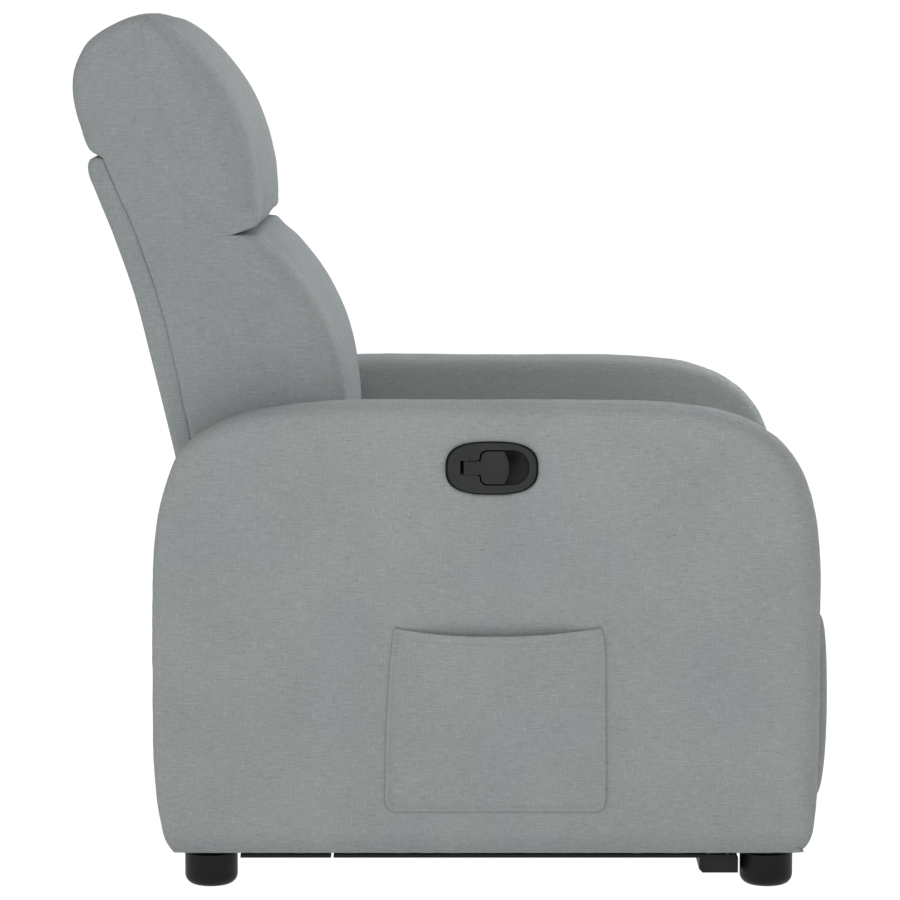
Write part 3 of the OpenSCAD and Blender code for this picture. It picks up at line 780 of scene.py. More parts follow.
# -------------------------------------------------------------------- cloth
def inflate(ob, pin, pressure=4.0, frames=20):
    """Runs Blender's cloth on ob with air pressure inside. pin is 0 to 1 per point. Returns how far each point went, in mm."""
    co = get_co(ob)
    vg = ob.vertex_groups.new(name="pin")
    for i, w in enumerate(pin):
        if w > 0.001:
            vg.add([i], float(min(1, w)), "REPLACE")
    mod = ob.modifiers.new("cloth", "CLOTH")
    st = mod.settings
    st.quality = 6
    st.mass = 0.35
    st.tension_stiffness = 18
    st.compression_stiffness = 18
    st.shear_stiffness = 8
    st.bending_stiffness = 1.2
    st.tension_damping = 12
    st.compression_damping = 12
    st.shear_damping = 12
    st.bending_damping = 1.0
    st.air_damping = 2.0
    st.vertex_group_mass = "pin"
    st.use_pressure = True
    st.uniform_pressure_force = pressure
    st.effector_weights.gravity = 0
    mod.collision_settings.use_collision = False
    mod.collision_settings.use_self_collision = False
    mod.point_cache.frame_start = 1
    mod.point_cache.frame_end = frames + 1
    for f in range(1, frames + 1):
        SCN.frame_set(f)
    dg = bpy.context.evaluated_depsgraph_get()
    ev = ob.evaluated_get(dg)
    me = ev.to_mesh()
    new = np.zeros(len(me.vertices) * 3, np.float64)
    me.vertices.foreach_get("co", new)
    new = new.reshape(-1, 3)
    ev.to_mesh_clear()
    ob.modifiers.remove(mod)
    ob.vertex_groups.remove(vg)
    SCN.frame_set(1)
    return (new - co) * 1000


def areas(ob):
    """A share of the surface for each point of ob."""
    a = np.zeros(len(ob.data.vertices))
    for p in ob.data.polygons:
        for i in p.vertices:
            a[i] += p.area / len(p.vertices)
    return a


def broad(co, no, area, v, sigma=26.0):
    """v averaged over the surface round each point, with points that face another way left out."""
    P, a, M = (co * 1000).astype(np.float32), (area / area.mean()).astype(np.float32), no.astype(np.float32)
    q = (P * P).sum(1)
    out = np.zeros(len(v))
    for i in range(0, len(v), 400):
        d2 = q[i:i + 400, None] + q[None, :] - 2 * P[i:i + 400] @ P.T
        w = np.exp(-np.maximum(d2, 0) / (2 * sigma * sigma)) * np.maximum(0, M[i:i + 400] @ M.T) ** 2 * a
        out[i:i + 400] = (w @ v) / np.maximum(w.sum(1), 1e-9)
    return out


def swell(ob, hold, inset, cap, pressure=4.0, frames=20):
    """The cushion starts smaller by inset in the middle of its panels. Cloth with air inside fills it, held where
    hold is 0, and by cap at the most. What it gained or lost over a broad area is then taken out again, so it
    keeps the drawn outline and the creases and fullness between its seams come from the cloth."""
    e = from_seam(ob)
    co, no = get_co(ob), get_no(ob)
    w = np.abs(co[:, 0]).max() * 1000
    side = sstep(w - 7, w - 2, np.abs(co[:, 0]) * 1000)
    deep = inset * (1 - 0.6 * side) * sstep(4, 46, e) * hold
    start = co - no * (deep / 1000)[:, None]
    set_co(ob, start)
    free = sstep(1.5, 16, e) * hold
    d = inflate(ob, 1 - free, pressure, frames)
    out = (d * no).sum(1)
    mid = deep > 0.7 * inset
    mean = float(out[mid].mean())
    gain = min(2.5, max(0.1, float(deep[mid].mean()) / max(mean, 0.1)))
    d *= gain
    L = np.linalg.norm(d, axis=1)
    d *= (np.where(L > 1e-6, cap * np.tanh(L / cap) / np.maximum(L, 1e-6), 1.0))[:, None]
    new = start + d / 1000
    off = ((new - co) * no).sum(1) * 1000
    wide = broad(co, no, areas(ob), off)
    new -= no * (wide * sstep(0, 22, e) * hold / 1000)[:, None]
    left = ((new - co) * no).sum(1) * 1000
    across = (new - co) * 1000 - no * left[:, None]
    L = np.maximum(np.linalg.norm(across, axis=1), 1e-6)
    across *= (3.0 * np.tanh(L / 3.0) / L)[:, None]
    set_co(ob, co + (no * (3.5 * np.tanh(left / 3.5))[:, None] + across) / 1000)
    print("cloth %s: moved %.1f mm on average, %.1f at most, gain %.2f, side %.1f, left over %.1f to %.1f, sd %.2f" % (
        ob.name, mean, out.max(), gain, float(out[side > 0.9].mean()), left.min(), left.max(), left.std()))


# --------------------------------------------------------------------- arms
ARM = ccw(respace(smooth_line([
    (-319, 33), (-327, 34.2), (-334, 42.5), (-338.5, 53), (-342.2, 70), (-346.8, 95), (-350.2, 130), (-351.6, 165), (-351.6, 235), (-351.6, 305),
    (-350.3, 364), (-346.5, 410), (-343, 433), (-337, 456), (-328, 484), (-318, 503.5), (-306, 515), (-281, 531),
    (-253, 542.6), (-226, 550), (-198, 554), (-171, 557), (-116, 560.4), (0, 560.6), (117, 560.4), (186, 560),
    (234, 558), (268, 555), (295.5, 551), (323, 543), (344, 534), (357, 525), (371, 514), (389, 491), (400, 468),
    (407, 445), (412, 422), (415.4, 398), (418.3, 360), (418.3, 317), (418.3, 236), (418.2, 166), (416.8, 106),
    (413, 72), (408, 51), (402.5, 40), (395, 34.5), (384, 33), (200, 33), (0, 33), (-200, 33)], 10, True), 7.0))


def fit_to(P, node, lo=None, hi=None):
    """P with its own box set to the CAD node's box in the side plane."""
    a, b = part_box(node)
    want_lo = arr([(MID - b.y) * 1000, a.z * 1000 - UP])
    want_hi = arr([(MID - a.y) * 1000, b.z * 1000 - UP])
    lo = P.min(0) if lo is None else lo
    hi = P.max(0) if hi is None else hi
    return (P - lo) / (hi - lo) * (want_hi - want_lo) + want_lo


def stadium(cu, cz, l, h, step=3.0, power=2.75):
    """An oval outline with fuller ends than an ellipse."""
    P = []
    for k in range(360):
        t = 2 * math.pi * k / 360
        c, s = math.cos(t), math.sin(t)
        e = 2 / power
        P.append((cu + l / 2 * math.copysign(abs(c) ** e, c), cz + h / 2 * math.copysign(abs(s) ** e, s)))
    return respace(arr(P), step)


p_lo, p_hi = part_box("pocket_panel")
PU0, PU1 = (MID - p_hi.y) * 1000, (MID - p_lo.y) * 1000
PZ0, PZ1 = p_lo.z * 1000 - UP, p_hi.z * 1000 - UP


def arm(name, side, node, hole=None):
    P = fit_to(ARM, node)
    # the cover is a little slack on top and folds under just above the rails
    P[:, 1] -= (3.2 if side < 0 else 1.9) * sstep(430, 545, P[:, 1])
    P[:, 1] += 3.6 * (1 - sstep(33, 60, P[:, 1]))
    n = len(P)
    low = sstep(40, 135, P[:, 1])
    down = np.clip(-normals2(P, 4)[:, 1], 0, 1) ** 2
    R_out = ring_smooth(4 + (8 + (by_normal(P, 30, 13, 17, 12) - 12) * low) * (1 - down), 5)
    R_in = ring_smooth(4 + (8 + (by_normal(P, 22, 14, 12, 12) - 12) * low) * (1 - down), 5)
    top = ring_smooth(by_normal(P, 2.0, 5.0, 1.2, 0.0) * low, 8)
    xo, xi = side * ARM_OUT, side * ARM_IN
    s = -side
    rings = arc_rings(xo, xi, R_out, R_in, 7, top, 7, 2.0, (5.0, 1.3 * low * (1 - down)))
    puff = lambda d, p: 1.2 * (1 - np.exp(-d / 26.0)) * np.exp(-d / 160.0)
    flat = lambda d, p: 0.6 * (1 - np.exp(-d / 26.0))
    ob = loft(name, P, rings, 9.0, (puff, flat), ((hole,) if hole is not None else (), ()))
    line = [W(float((xo + s * (R_out[i] + 5.0))), P[i, 0], P[i, 1]) for i in range(n)]
    line2 = [W(float((xi - s * (R_in[i] + 5.0))), P[i, 0], P[i, 1]) for i in range(n)]

    def calm(co):
        """Keeps the arm even at its inner face, its lower edge, under the pocket and round the handle."""
        u, z = (MID - co[:, 1]) * 1000, co[:, 2] * 1000 - UP
        k = sstep(ARM_IN - 1, ARM_IN + 4, np.abs(co[:, 0]) * 1000) * sstep(36, 60, z)
        if hole is not None:
            k = k * (1 - 0.75 * np.exp(-(((u - HU) / 70) ** 2 + ((z - HZ) / 48) ** 2) ** 2))
            inside = sstep(PU0 - 30, PU0, u) * (1 - sstep(PU1, PU1 + 30, u)) * sstep(PZ0 - 30, PZ0, z) * (1 - sstep(PZ1, PZ1 + 30, z))
            k = k * (1 - 0.7 * inside)
        return k

    soften(ob, 0.85, 7.5, 2.0 + side, calm)
    soften(ob, 0.30, 26.0, 5.0 + side, calm)
    pucker(ob, line + line[:1], 0.5, 15.0, 13.0, 4.0 + side)
    pucker(ob, line2 + line2[:1], 0.4, 17.0, 12.0, 9.0 + side)
    if hole is not None:
        # the cover gives way a little behind the pocket's mouth
        co = get_co(ob)
        u, z = (MID - co[:, 1]) * 1000, co[:, 2] * 1000 - UP
        w = sstep(PU0 + 8, PU0 + 60, u) * (1 - sstep(PU1 - 60, PU1 - 4, u)) * (co[:, 0] < -(ARM_OUT - 12) / 1000)
        d = np.where(z > PZ1 - 10, np.exp(-((z - (PZ1 - 10)) / 15.0) ** 2), np.exp(-((z - (PZ1 - 10)) / 40.0) ** 2))
        co[:, 0] += 0.0042 * w * d
        set_co(ob, co)
    give(ob, FAB_ARM)
    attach(ob, "base")
    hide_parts(node)
    return ob


hole = ccw(stadium(HU, HZ, HL - 9, HH - 9, 4.0))
arm_right = arm("arm_right", -1, "arm_cover_right", hole)
arm_left = arm("arm_left", 1, "arm_cover_left")

# --------------------------------------------------------------------- back
seam = smooth_line([(-203, 326), (-205, 400), (-212, 480), (-219, 545), (-225, 588), (-259, 676), (-285.6, 742), (-296, 768),
                    (-325, 842), (-350, 914), (-361.5, 965), (-367.5, 999.6)], 12)
shell_front = smooth_line([(-276, 302), (-288, 380), (-304, 480), (-317, 540), (-331, 608), (-349, 680),
                           (-372, 745), (-398, 806), (-409, 832.5)], 8)


def even(P, step, times, share):
    """P spaced evenly and with its small corners taken out where share is 1."""
    P = respace(P, step, False)
    f = share(P)[:, None]
    return P * (1 - f) + ring_smooth(P, times, False) * f


def wavy(P, amp, wave, seed):
    """P with the slight unevenness of a hand-sewn line, none at its ends."""
    P = P.copy()
    k = np.sin(np.linspace(0, math.pi, len(P))) ** 0.5
    P[:, 0] += amp * k * arr([noise.noise(Vector((z / wave, seed, 0.5))) for z in P[:, 1]])
    return P


shell_front = wavy(shell_front, 1.3, 26.0, 3.0)
body_rear = shell_front + [-1.4, 0]
body_rear = body_rear[body_rear[:, 1] > 327]


def back_piece(name, node, P, R, crown, mid=17, power=2.2, step=9.0, puff=None, w=None, steps=6, seam=None, N=None, Ri=None, slide=None):
    w = BACK_W if w is None else w
    rings = arc_rings(-w, w, R, R, mid, crown, steps, power, seam, Ri)
    if seam:
        n2 = normals2(P) if N is None else N
        k = steps + 3
        SEWN[name] = []
        for x, d in (rings[k], rings[-1 - k]):
            Q = P - n2 * np.broadcast_to(d, len(P))[:, None]
            X = np.broadcast_to(x, len(P))
            SEWN[name] += [W(X[i], Q[i, 0], Q[i, 1]) for i in range(len(P))]
    return loft(name, P, rings, step, (puff, puff), ((), ()), N, slide)


SEWN = {}


def from_seam(ob):
    """How far each point of ob is from the piece's sewn lines, in mm."""
    pts = SEWN[ob.name]
    tree = KDTree(len(pts))
    for i, p in enumerate(pts):
        tree.insert(p, i)
    tree.balance()
    return arr([tree.find(c)[2] for c in get_co(ob)]) * 1000


def stand_off(ob, line, near, far):
    """Per point of ob: 0 within near mm of the drawn line in the side plane, 1 beyond far mm."""
    co = get_co(ob)
    Q = np.stack([(MID - co[:, 1]) * 1000, co[:, 2] * 1000 - UP], 1)
    return sstep(near, far, seg_dist(Q, line, False)[0])


# the boxed body behind the pillows
R_TOP, C_TOP = 15.0, 4.0
body_top = smooth_line([(body_rear[-1][0], body_rear[-1][1]), (-417, 837.0), (-424, 841), (-431, 851), (-437, 863), (-442.5, 878), (-446.5, 896),
                        (-448, 912), (-446.5, 931), (-441, 948), (-432, 965), (-422, 975), (-408, 984.5), (-389, 994),
                        (-377, 998.6), (-366.1, 999.6)], 8)
body_seam = seam[::-1].copy()
body_seam[:, 0] += np.interp(body_seam[:, 1], [770, 830, 975, 999.6], [1.4, 0.6, 0.6, 1.4])
P_body, N_body, T = outline([body_rear, body_top, body_seam, [(-201.6, 326), (body_rear[0][0], body_rear[0][1])]], 6.0)
z = P_body[:, 1]
is_top = sstep(838, 872, z) * (T == 1)
Ri = np.where(T == 2, 1.0, 4.2 + (R_TOP - 4.2) * is_top)
R = np.where(T == 2, 4.2 + (R_TOP - 4.2) * sstep(742, 999, z), Ri)
back_body = back_piece("back_body_cover", "back_body", P_body, R, C_TOP * is_top, 19, 2.4, 8.0,
                       lambda d, p: 0.9 * (1 - np.exp(-d / 26.0)), None, 6, (4.0, 1.1 * is_top), N_body, Ri, np.where(T == 2)[0])
soften(back_body, 0.7, 9.0, 11.0)

# the rear shell
shell_rear = smooth_line([(-297, 302), (-309, 380), (-333, 494), (-349, 564), (-360.5, 611), (-372, 657), (-386.5, 704),
                          (-403, 750), (-421.6, 796), (-427.5, 810), (-429.4, 823), (-426.5, 832), (-419, 835.2)], 8)
P_shell = ccw(respace(np.vstack([shell_rear, shell_front[::-1]]), 5.0))
d_front = seg_dist(P_shell, shell_front, False)[0]
outer = sstep(3, 16, d_front)
R = ring_smooth(4.5 + 4.5 * outer, 2)
crown = ring_smooth(2.0 * outer * sstep(302, 330, P_shell[:, 1]), 3)
back_shell = back_piece("back_shell_cover", "back_shell", P_shell, R, crown, 21, 3.0, 6.0,
                        lambda d, p: 0.6 * (1 - np.exp(-d / 8.0)), BACK_W - 1, 6, (5.0, 1.0 * outer))
soften(back_shell, 0.9, 7.0, 14.0)
soften(back_shell, 0.3, 24.0, 15.0)

# the head pillow
head_front = smooth_line([(-368, 999.6), (-355, 998.8), (-342, 996.2), (-329, 991.5), (-308, 977.5), (-287, 958), (-266, 931),
                          (-251, 907), (-239.5, 883), (-231.5, 858), (-225, 834), (-222, 810), (-221.3, 795),
                          (-221.3, 781), (-221.9, 768), (-223.8, 758.4), (-229.5, 751.2), (-244, 745.6), (-264, 739.4), (-286.1, 737.0)], 8)
head_front[:, 0] += np.interp(head_front[:, 1], [742, 765, 780, 800, 820, 862, 883, 904, 925, 949, 963, 970, 977, 984, 990.5, 996, 999.6],
                              [0, -1.5, -2.4, -3.6, -2.4, -2.2, -1.9, -2.6, -2.9, -3.3, -4.2, -4.7, -5.5, -6.4, -6.4, -3.5, 0]) * sstep(-372, -345, head_front[:, 0])
head_front = even(head_front, 4.0, 12, lambda P: sstep(778, 800, P[:, 1]))
head_back = np.vstack([[(-286.1, 737.0)], seam[(seam[:, 1] > 744.5)] + [-0.5, 0]])
P_head, N_head, T = outline([head_front, head_back], 6.0)
ds = seg_dist(P_head, head_back, False)[0]
z = P_head[:, 1]
far_in = np.where(T == 0, sstep(5, 110, np.linalg.norm(P_head - [-368, 999.6], axis=1)), 0)
under = 1 - sstep(746, 800, z)
shut = 1 - sstep(-268, -238, P_head[:, 0])
Ri = np.where(T == 1, 1.0, (R_TOP + 11.0 * far_in) * (1 - under) + (4.0 - 3.0 * shut) * under)
R = np.where(T == 1, 4.0 + (R_TOP - 4.0) * sstep(742, 999, z), Ri)
crown = np.where(T == 1, 0, C_TOP + (7.0 * far_in) * (1 - under))
lit = sstep(1, 44, ds)
head = back_piece("head_pillow_cover", "head_pillow", P_head, R, crown, 31, 2.0, 8.0,
                  lambda d, p: 1.6 * (1 - np.exp(-d / 26.0)), None, 8, (3.0, 1.1 * lit), N_head, Ri, np.where(T == 1)[0])

# the lumbar pillow
lum_front = smooth_line([(-286.1, 747.0), (-262, 748.0), (-248, 748.6), (-236, 749.4), (-225, 748.8), (-204.5, 733.5), (-189.5, 720.5),
                         (-171, 698), (-155.5, 676.5), (-144.5, 652), (-135.5, 627.5), (-129.5, 603), (-125.5, 578),
                         (-123, 553), (-121, 529), (-119, 480), (-117, 430), (-116, 380), (-115.5, 327)], 8)
lum_front[:, 0] += np.interp(lum_front[:, 1], [600, 633, 654, 696, 738, 747, 750], [0, -1.9, -3.9, -5.0, -4.2, -2.5, -1.5]) * sstep(-240, -215, lum_front[:, 0])
lum_front = even(lum_front, 4.0, 30, lambda P: 1 - sstep(712, 734, P[:, 1]))
lum_back = np.vstack([seam[(seam[:, 1] < 740)] + [-0.5, 0], [(-286.1, 747.0)]])
P_lum, N_lum, T = outline([lum_front, [(-115.5, 327), lum_back[0]], lum_back], 6.5)
ds = seg_dist(P_lum, lum_back, False)[0]
z = P_lum[:, 1]
topl = 1 - sstep(-262, -205, P_lum[:, 0])
uppr = sstep(470, 680, z)
shut = 1 - sstep(-268, -238, P_lum[:, 0])
Ri = np.where(T == 2, 1.0, np.where(T == 1, 4.0, (15.0 + 6.0 * uppr) * (1 - topl) + (4.0 - 3.0 * shut) * topl))
R = np.where(T == 2, 4.0, np.maximum(Ri, 4.0))
crown = np.where(T == 0, (4.0 + 6.5 * uppr) * (1 - 0.6 * topl), 0)
crown = np.where((T == 0), crown * sstep(324, 352, z), crown)
lit = sstep(1, 44, ds) * (T == 0)
lumbar = back_piece("lumbar_pillow_cover", "lumbar_pillow", P_lum, R, crown, 31, 2.0, 8.0,
                    lambda d, p: 1.6 * (1 - np.exp(-d / 26.0)), None, 8, (3.0, 1.1 * lit), N_lum, Ri, np.where(T == 2)[0])

# --------------------------------------------------------------------- seat
P_seat = np.vstack([
    [(-112, 358)],
    smooth_line([(-112, 438), (-108, 448), (-96, 452), (-60, 456.5), (0, 460), (60, 462.5), (130, 464), (200, 464), (260, 462),
                 (310, 457.5), (352, 447), (384, 430), (405, 407), (417, 382), (423, 358), (425.5, 335), (425, 318),
                 (420, 307.5)], 8),
    [(378, 306.5), (378, 358)]])
P_seat = fit_to(ccw(respace(P_seat, 7.5)), "seat_cushion")
topf = sstep(430, 452, P_seat[:, 1]) + sstep(360, 400, P_seat[:, 0]) * sstep(306, 330, P_seat[:, 1])
topf = np.clip(topf, 0, 1)
R = ring_smooth(2.5 + 13.0 * topf, 3)
nose = sstep(360, 400, P_seat[:, 0])
crown = ring_smooth((10.0 - 5.0 * nose) * topf, 4)
seat_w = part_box("seat_cushion")[1].x * 1000
seat = back_piece("seat_cushion_cover", "seat_cushion", P_seat, R, crown, 41, 2.6, 11.0, None, seat_w, 7, (3.0, 1.1 * topf))

# ----------------------------------------------------------------- footrest
P_foot = np.vstack([
    [(397.3, 82)],
    smooth_line([(408, 80), (416, 80.5), (422.5, 86), (427, 101), (430, 125), (431.8, 155), (432.5, 190), (432.2, 225), (431, 259),
                 (428.5, 283), (425, 296), (419, 303)], 8),
    [(397.3, 286)]])
P_foot = fit_to(ccw(respace(P_foot, 5.0)), "footrest_pad")
frontf = sstep(404, 418, P_foot[:, 0])
P_foot[:, 0] += 3.6 * frontf
R = ring_smooth(1.5 + 9.0 * frontf, 3)
crown = ring_smooth(2.6 * frontf, 3)
foot_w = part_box("footrest_pad")[1].x * 1000
foot = back_piece("footrest_cover", "footrest_pad", P_foot, R, crown, 41, 2.4, 8.0, None, foot_w, 6, (3.0, 1.0 * frontf))

# ------------------------------------------------------- air in the cushions
for ob, line, inset, cap, near, far, air in (
        (head, np.vstack([[(-246, 745.2), (-264, 741.4)], head_back]), 7.0, 24.0, 2.0, 34.0, 16.0),
        (lumbar, np.vstack([lum_back, [(-262, 745.2), (-246, 747)]]), 8.0, 24.0, 2.0, 34.0, 1.4),
        (seat, arr([(-112, 300), (-112, 340), (100, 340), (378, 306), (378, 358)]), 8.0, 26.0, 8.0, 70.0, 5.0),
        (foot, arr([(397, 80), (397, 300)]), 5.0, 22.0, 3.0, 16.0, 4.0)):
    swell(ob, stand_off(ob, line, near, far), inset, cap, air)
    soften(ob, 0.9, 8.0, 21.0 + near + inset)
    soften(ob, 0.3, 24.0, 31.0)
    ob.modifiers.new("finer", "SUBSURF").levels = 1
    ob.modifiers["finer"].render_levels = 1

for ob, body, node, fill in ((back_body, "back", "back_body", 0.85), (back_shell, "back", "back_shell", 0.8),
                             (head, "back", "head_pillow", 0.75), (lumbar, "back", "lumbar_pillow", 0.75),
                             (seat, "base", "seat_cushion", 0.8), (foot, "footrest", "footrest_pad", 0.7)):
    # the back pieces take the copy of the linen with painted shade
    give(ob, FAB if body != "back" else FAB_BACK_SHADED)
    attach(ob, body)
    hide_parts(node)


# -------------------------------------------------------------------- plates
def plate(name, outline, xb, xf, r, holes=(), dish=0.0, step=3.0, arcs=4, rh=None):
    """A moulded plate in the side plane from x = xb out to x = xf, with edges rounded by r, and by rh round its holes.
    dish pushes its face in towards the holes."""
    s = 1.0 if xf > xb else -1.0
    rh = r if rh is None else rh
    V, F = [], []

    def ring(loop, x):
        k = len(V)
        V.extend(W(x, p[0], p[1]) for p in loop)
        return list(range(k, k + len(loop)))

    def join(a, b):
        n = len(a)
        for i in range(n):
            F.append((a[i], a[(i + 1) % n], b[(i + 1) % n], b[i]))

    O = ccw(outline)
    N = normals2(O, 1)
    back = ring(O, xb)
    prev = back
    for k in range(arcs + 1):
        f = math.pi / 2 * k / arcs
        now = ring(O - N * (r * (1 - math.cos(f))), xf - s * r * (1 - math.sin(f)))
        join(prev, now)
        prev = now
    face_loop = O - N * r
    hole_back, hole_face, hole_loops = [], [], []
    for h in holes:
        h = ccw(h)
        M = normals2(h, 1)
        hb = ring(h, xb)
        last = hb
        for k in range(arcs + 1):
            f = math.pi / 2 * k / arcs
            now = ring(h + M * (rh * (1 - math.cos(f))), xf - s * (rh * (1 - math.sin(f)) + dish))
            join(last, now)
            last = now
        hole_back.append(hb)
        hole_face.append(last)
        hole_loops.append(h + M * rh)
    for front, loop, ids, hl, hid in ((True, face_loop, prev, hole_loops, hole_face),
                                      (False, O, back, [ccw(h) for h in holes], hole_back)):
        pts, tri = cap2(loop, step, hl)
        table = {}
        for i, k in enumerate(ids):
            table[i] = k
        at = len(ids)
        for hx in hid:
            for k in hx:
                table[at] = k
                at += 1
        d1 = seg_dist(pts, loop)[0]
        for i in range(at, len(pts)):
            x = xf if front else xb
            if front and hl:
                d2 = min(seg_dist(pts[i:i + 1], q)[0][0] for q in hl)
                x -= s * dish * float(sstep(0, 1, d1[i] / (d1[i] + d2)))
            elif front:
                x += s * 0.5 * float(1 - math.exp(-d1[i] / 5.0))
            table[i] = len(V)
            V.append(W(x, pts[i, 0], pts[i, 1]))
        F += [tuple(table[int(i)] for i in t) for t in tri]
    return mesh_object(name, V, F)


def rounded(pts, radii, n=5):
    """A closed outline with each corner rounded by its own radius."""
    out = []
    m = len(pts)
    for i in range(m):
        p, a, b = arr(pts[i]), arr(pts[i - 1]), arr(pts[(i + 1) % m])
        r = radii[i]
        u, v = (a - p) / np.linalg.norm(a - p), (b - p) / np.linalg.norm(b - p)
        if r <= 0:
            out.append(p)
            continue
        half = math.acos(max(-1, min(1, float(u @ v)))) / 2
        t = r / math.tan(half)
        c = p + (u + v) / np.linalg.norm(u + v) * (r / math.sin(half))
        s0, s1 = p + u * t - c, p + v * t - c
        for k in range(n + 1):
            w = s0 * (1 - k / n) + s1 * k / n
            out.append(c + w / np.linalg.norm(w) * r)
    return arr(out)


# ------------------------------------------------------------------- handle
XO = -ARM_OUT
HUB = HU - 41.0  # the handle's own zero, where the drawing's u starts
well = rounded([(3.8, -9.2), (26, -9.2), (26, -21.4), (85.5, -21.4), (85.5, 21.4), (26, 21.4), (26, 9.2), (3.8, 9.2)],
               [1.2, 2.5, 9.0, 20.0, 20.0, 9.0, 2.5, 1.2], 7) + [HUB, HZ]
well = ccw(respace(well, 1.3))
bezel = plate("bezel", stadium(HU, HZ, HL, HH, 2.2), XO + 0.6, XO - 4.0, 1.2, (well,), 1.2, 3.0, 5, 0.6)
give(bezel, M_BEZEL)
V, F = [], []
N = normals2(well, 2)
levels = ((0.4, 0.0), (-1.0, 0.15), (-1.6, 0.3), (6.0, 0.6), (16.0, 1.2), (26.0, 2.2), (30.5, 4.0), (32.6, 7.5))
for d, inset in levels:
    Q = well - N * (inset - 0.25)
    V += [W(XO + max(d, -0.9) * (1 - 0.5 * float(sstep(50, 86, q[0] - HUB)) * (d > 1)), q[0], q[1]) for q in Q]
n = len(well)
for k in range(len(levels) - 1):
    for i in range(n):
        j = (i + 1) % n
        F.append((k * n + i, k * n + j, (k + 1) * n + j, (k + 1) * n + i))
Q = well - N * (levels[-1][1] - 0.25)
pts, tri = cap2(Q, 3.0)
index = {i: (len(levels) - 1) * n + i for i in range(n)}
for i in range(n, len(pts)):
    index[i] = len(V)
    V.append(W(XO + 33.4 * (1 - 0.5 * float(sstep(50, 86, pts[i, 0] - HUB))), pts[i, 0], pts[i, 1]))
F += [tuple(index[int(i)] for i in t) for t in tri]
cup = mesh_object("finger_well", V, F)
give(cup, M_CUP)
sol = cup.modifiers.new("wall", "SOLIDIFY")
sol.thickness = 0.0009
sol.offset = 1.0
arc = [(26 + 34.5 * math.cos(a), 34.5 * math.sin(a)) for a in np.linspace(-math.asin(18.6 / 34.5), math.asin(19 / 34.5), 16)]
grip = [(8.8, -7.7), (28.6, -7.7), (28.6, -18.6)] + arc + [(28.6, 19), (28.6, 7.7), (8.8, 7.7)]
radii = [1.0, 1.6, 7.6, 1.6] + [0] * (len(arc) - 2) + [1.6, 7.6, 1.6, 1.0]
grip = ccw(respace(rounded(grip, radii, 6) + [HUB, HZ], 1.4))
paddle = plate("paddle", grip, XO + 1.5, XO - 2.7, 0.6, (), 0.0, 3.0, 4)
give(paddle, M_PADDLE)
for ob, body, node in ((bezel, "base", "handle_bezel"), (cup, "base", "finger_cup"), (paddle, "paddle", "handle_paddle")):
    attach(ob, body)
    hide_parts(node)

# ------------------------------------------------------------------- pocket
skin = BVHTree.FromObject(arm_right, bpy.context.evaluated_depsgraph_get())


def arm_x(u, z):
    """Where the arm's outer face lies, in mm."""
    hit = skin.ray_cast(W(-600, u, z), Vector((1, 0, 0)))[0]
    return hit.x * 1000 if hit else XO


def pocket_edges(t):
    """Left and right edge of the pocket at t from its bottom, 0, to its mouth, 1."""
    z = PZ0 + t * (PZ1 - PZ0)
    left = float(np.interp(z, [PZ0, 100, 180, 260, 290, PZ1], [PU0, PU0, PU0 + 1.2, PU0 + 6, PU0 + 9.5, PU0 + 12]))
    right = PU1 - float(np.interp(z, [PZ0, 150, 270, 288, PZ1], [0.0, 0.0, 1.2, 2.6, 6.5]))
    return left, right


def sag(s):
    """How far the mouth hangs below its corners, s across."""
    return 9.6 * (1 - abs(2 * min(max(s, 0), 1) ** 0.92 - 1) ** 2.3)


NS, NT = 120, 104
TH = 1.3
front_v, back_v = [], []
pocket_grid = []
for j in range(NT + 1):
    t = j / NT
    row = []
    for i in range(NS + 1):
        s = i / NS
        left, right = pocket_edges(t)
        u = left + s * (right - left)
        z = PZ0 + t * (PZ1 - sag(s) - PZ0)
        # the lower corners are round
        r = 13.0
        for cu, k in ((left + r, -1), (right - r, 1)):
            if (u - cu) * k > 0 and z < PZ0 + r:
                a, b = abs(u - cu) / r, (PZ0 + r - z) / r
                m = max(a, b)
                L = math.hypot(a, b)
                u = cu + k * a * m / L * r
                z = PZ0 + r - b * m / L * r
        side = min(s, 1 - s) * (right - left)
        low = t * (PZ1 - PZ0)
        edge = min(side, low) if side > 0 else 0.0
        r_edge = float(-math.log(math.exp(-side / 6.0) + math.exp(-low / 6.0)) * 6.0)
        r_edge = max(0.0, min(edge, r_edge + 3.0))
        mouth = (1 - t) * (PZ1 - PZ0)
        body = float(sstep(7.0, 60.0, r_edge))
        lip = float(sstep(6.0, 70.0, side)) * float(sstep(90.0, 0.0, mouth)) if mouth < 90 else 0.0
        h = 1.5 + 1.3 * float(np.exp(-((r_edge - 3.6) / 2.3) ** 2))          # the doubled edge
        h -= 1.0 * float(np.exp(-((r_edge - 7.2) / 1.0) ** 2))               # its inner stitch line
        h += 2.0 * body + 5.6 * lip
        if mouth < 14 and side > 4:
            h += 0.8 * float(sstep(0.0, 2.0, 10.5 - mouth)) - 0.8 * float(np.exp(-((mouth - 10.5) / 1.0) ** 2))
        h += 0.45 * fbm((u / 1000, z / 1000, 0.3), 16.0, 40.0) * body
        row.append((u, z, h, r_edge, mouth, side))
    pocket_grid.append(row)
V, F = [], []
for layer in (0, 1):
    for row in pocket_grid:
        for u, z, h, *_ in row:
            a = arm_x(u, z)
            V.append(W(a - h + layer * min(TH, h - 0.15), u, z))
M = NS + 1
K = M * (NT + 1)
for j in range(NT):
    for i in range(NS):
        q = (j * M + i, j * M + i + 1, (j + 1) * M + i + 1, (j + 1) * M + i)
        F.append(q)
        F.append(tuple(K + k for k in reversed(q)))
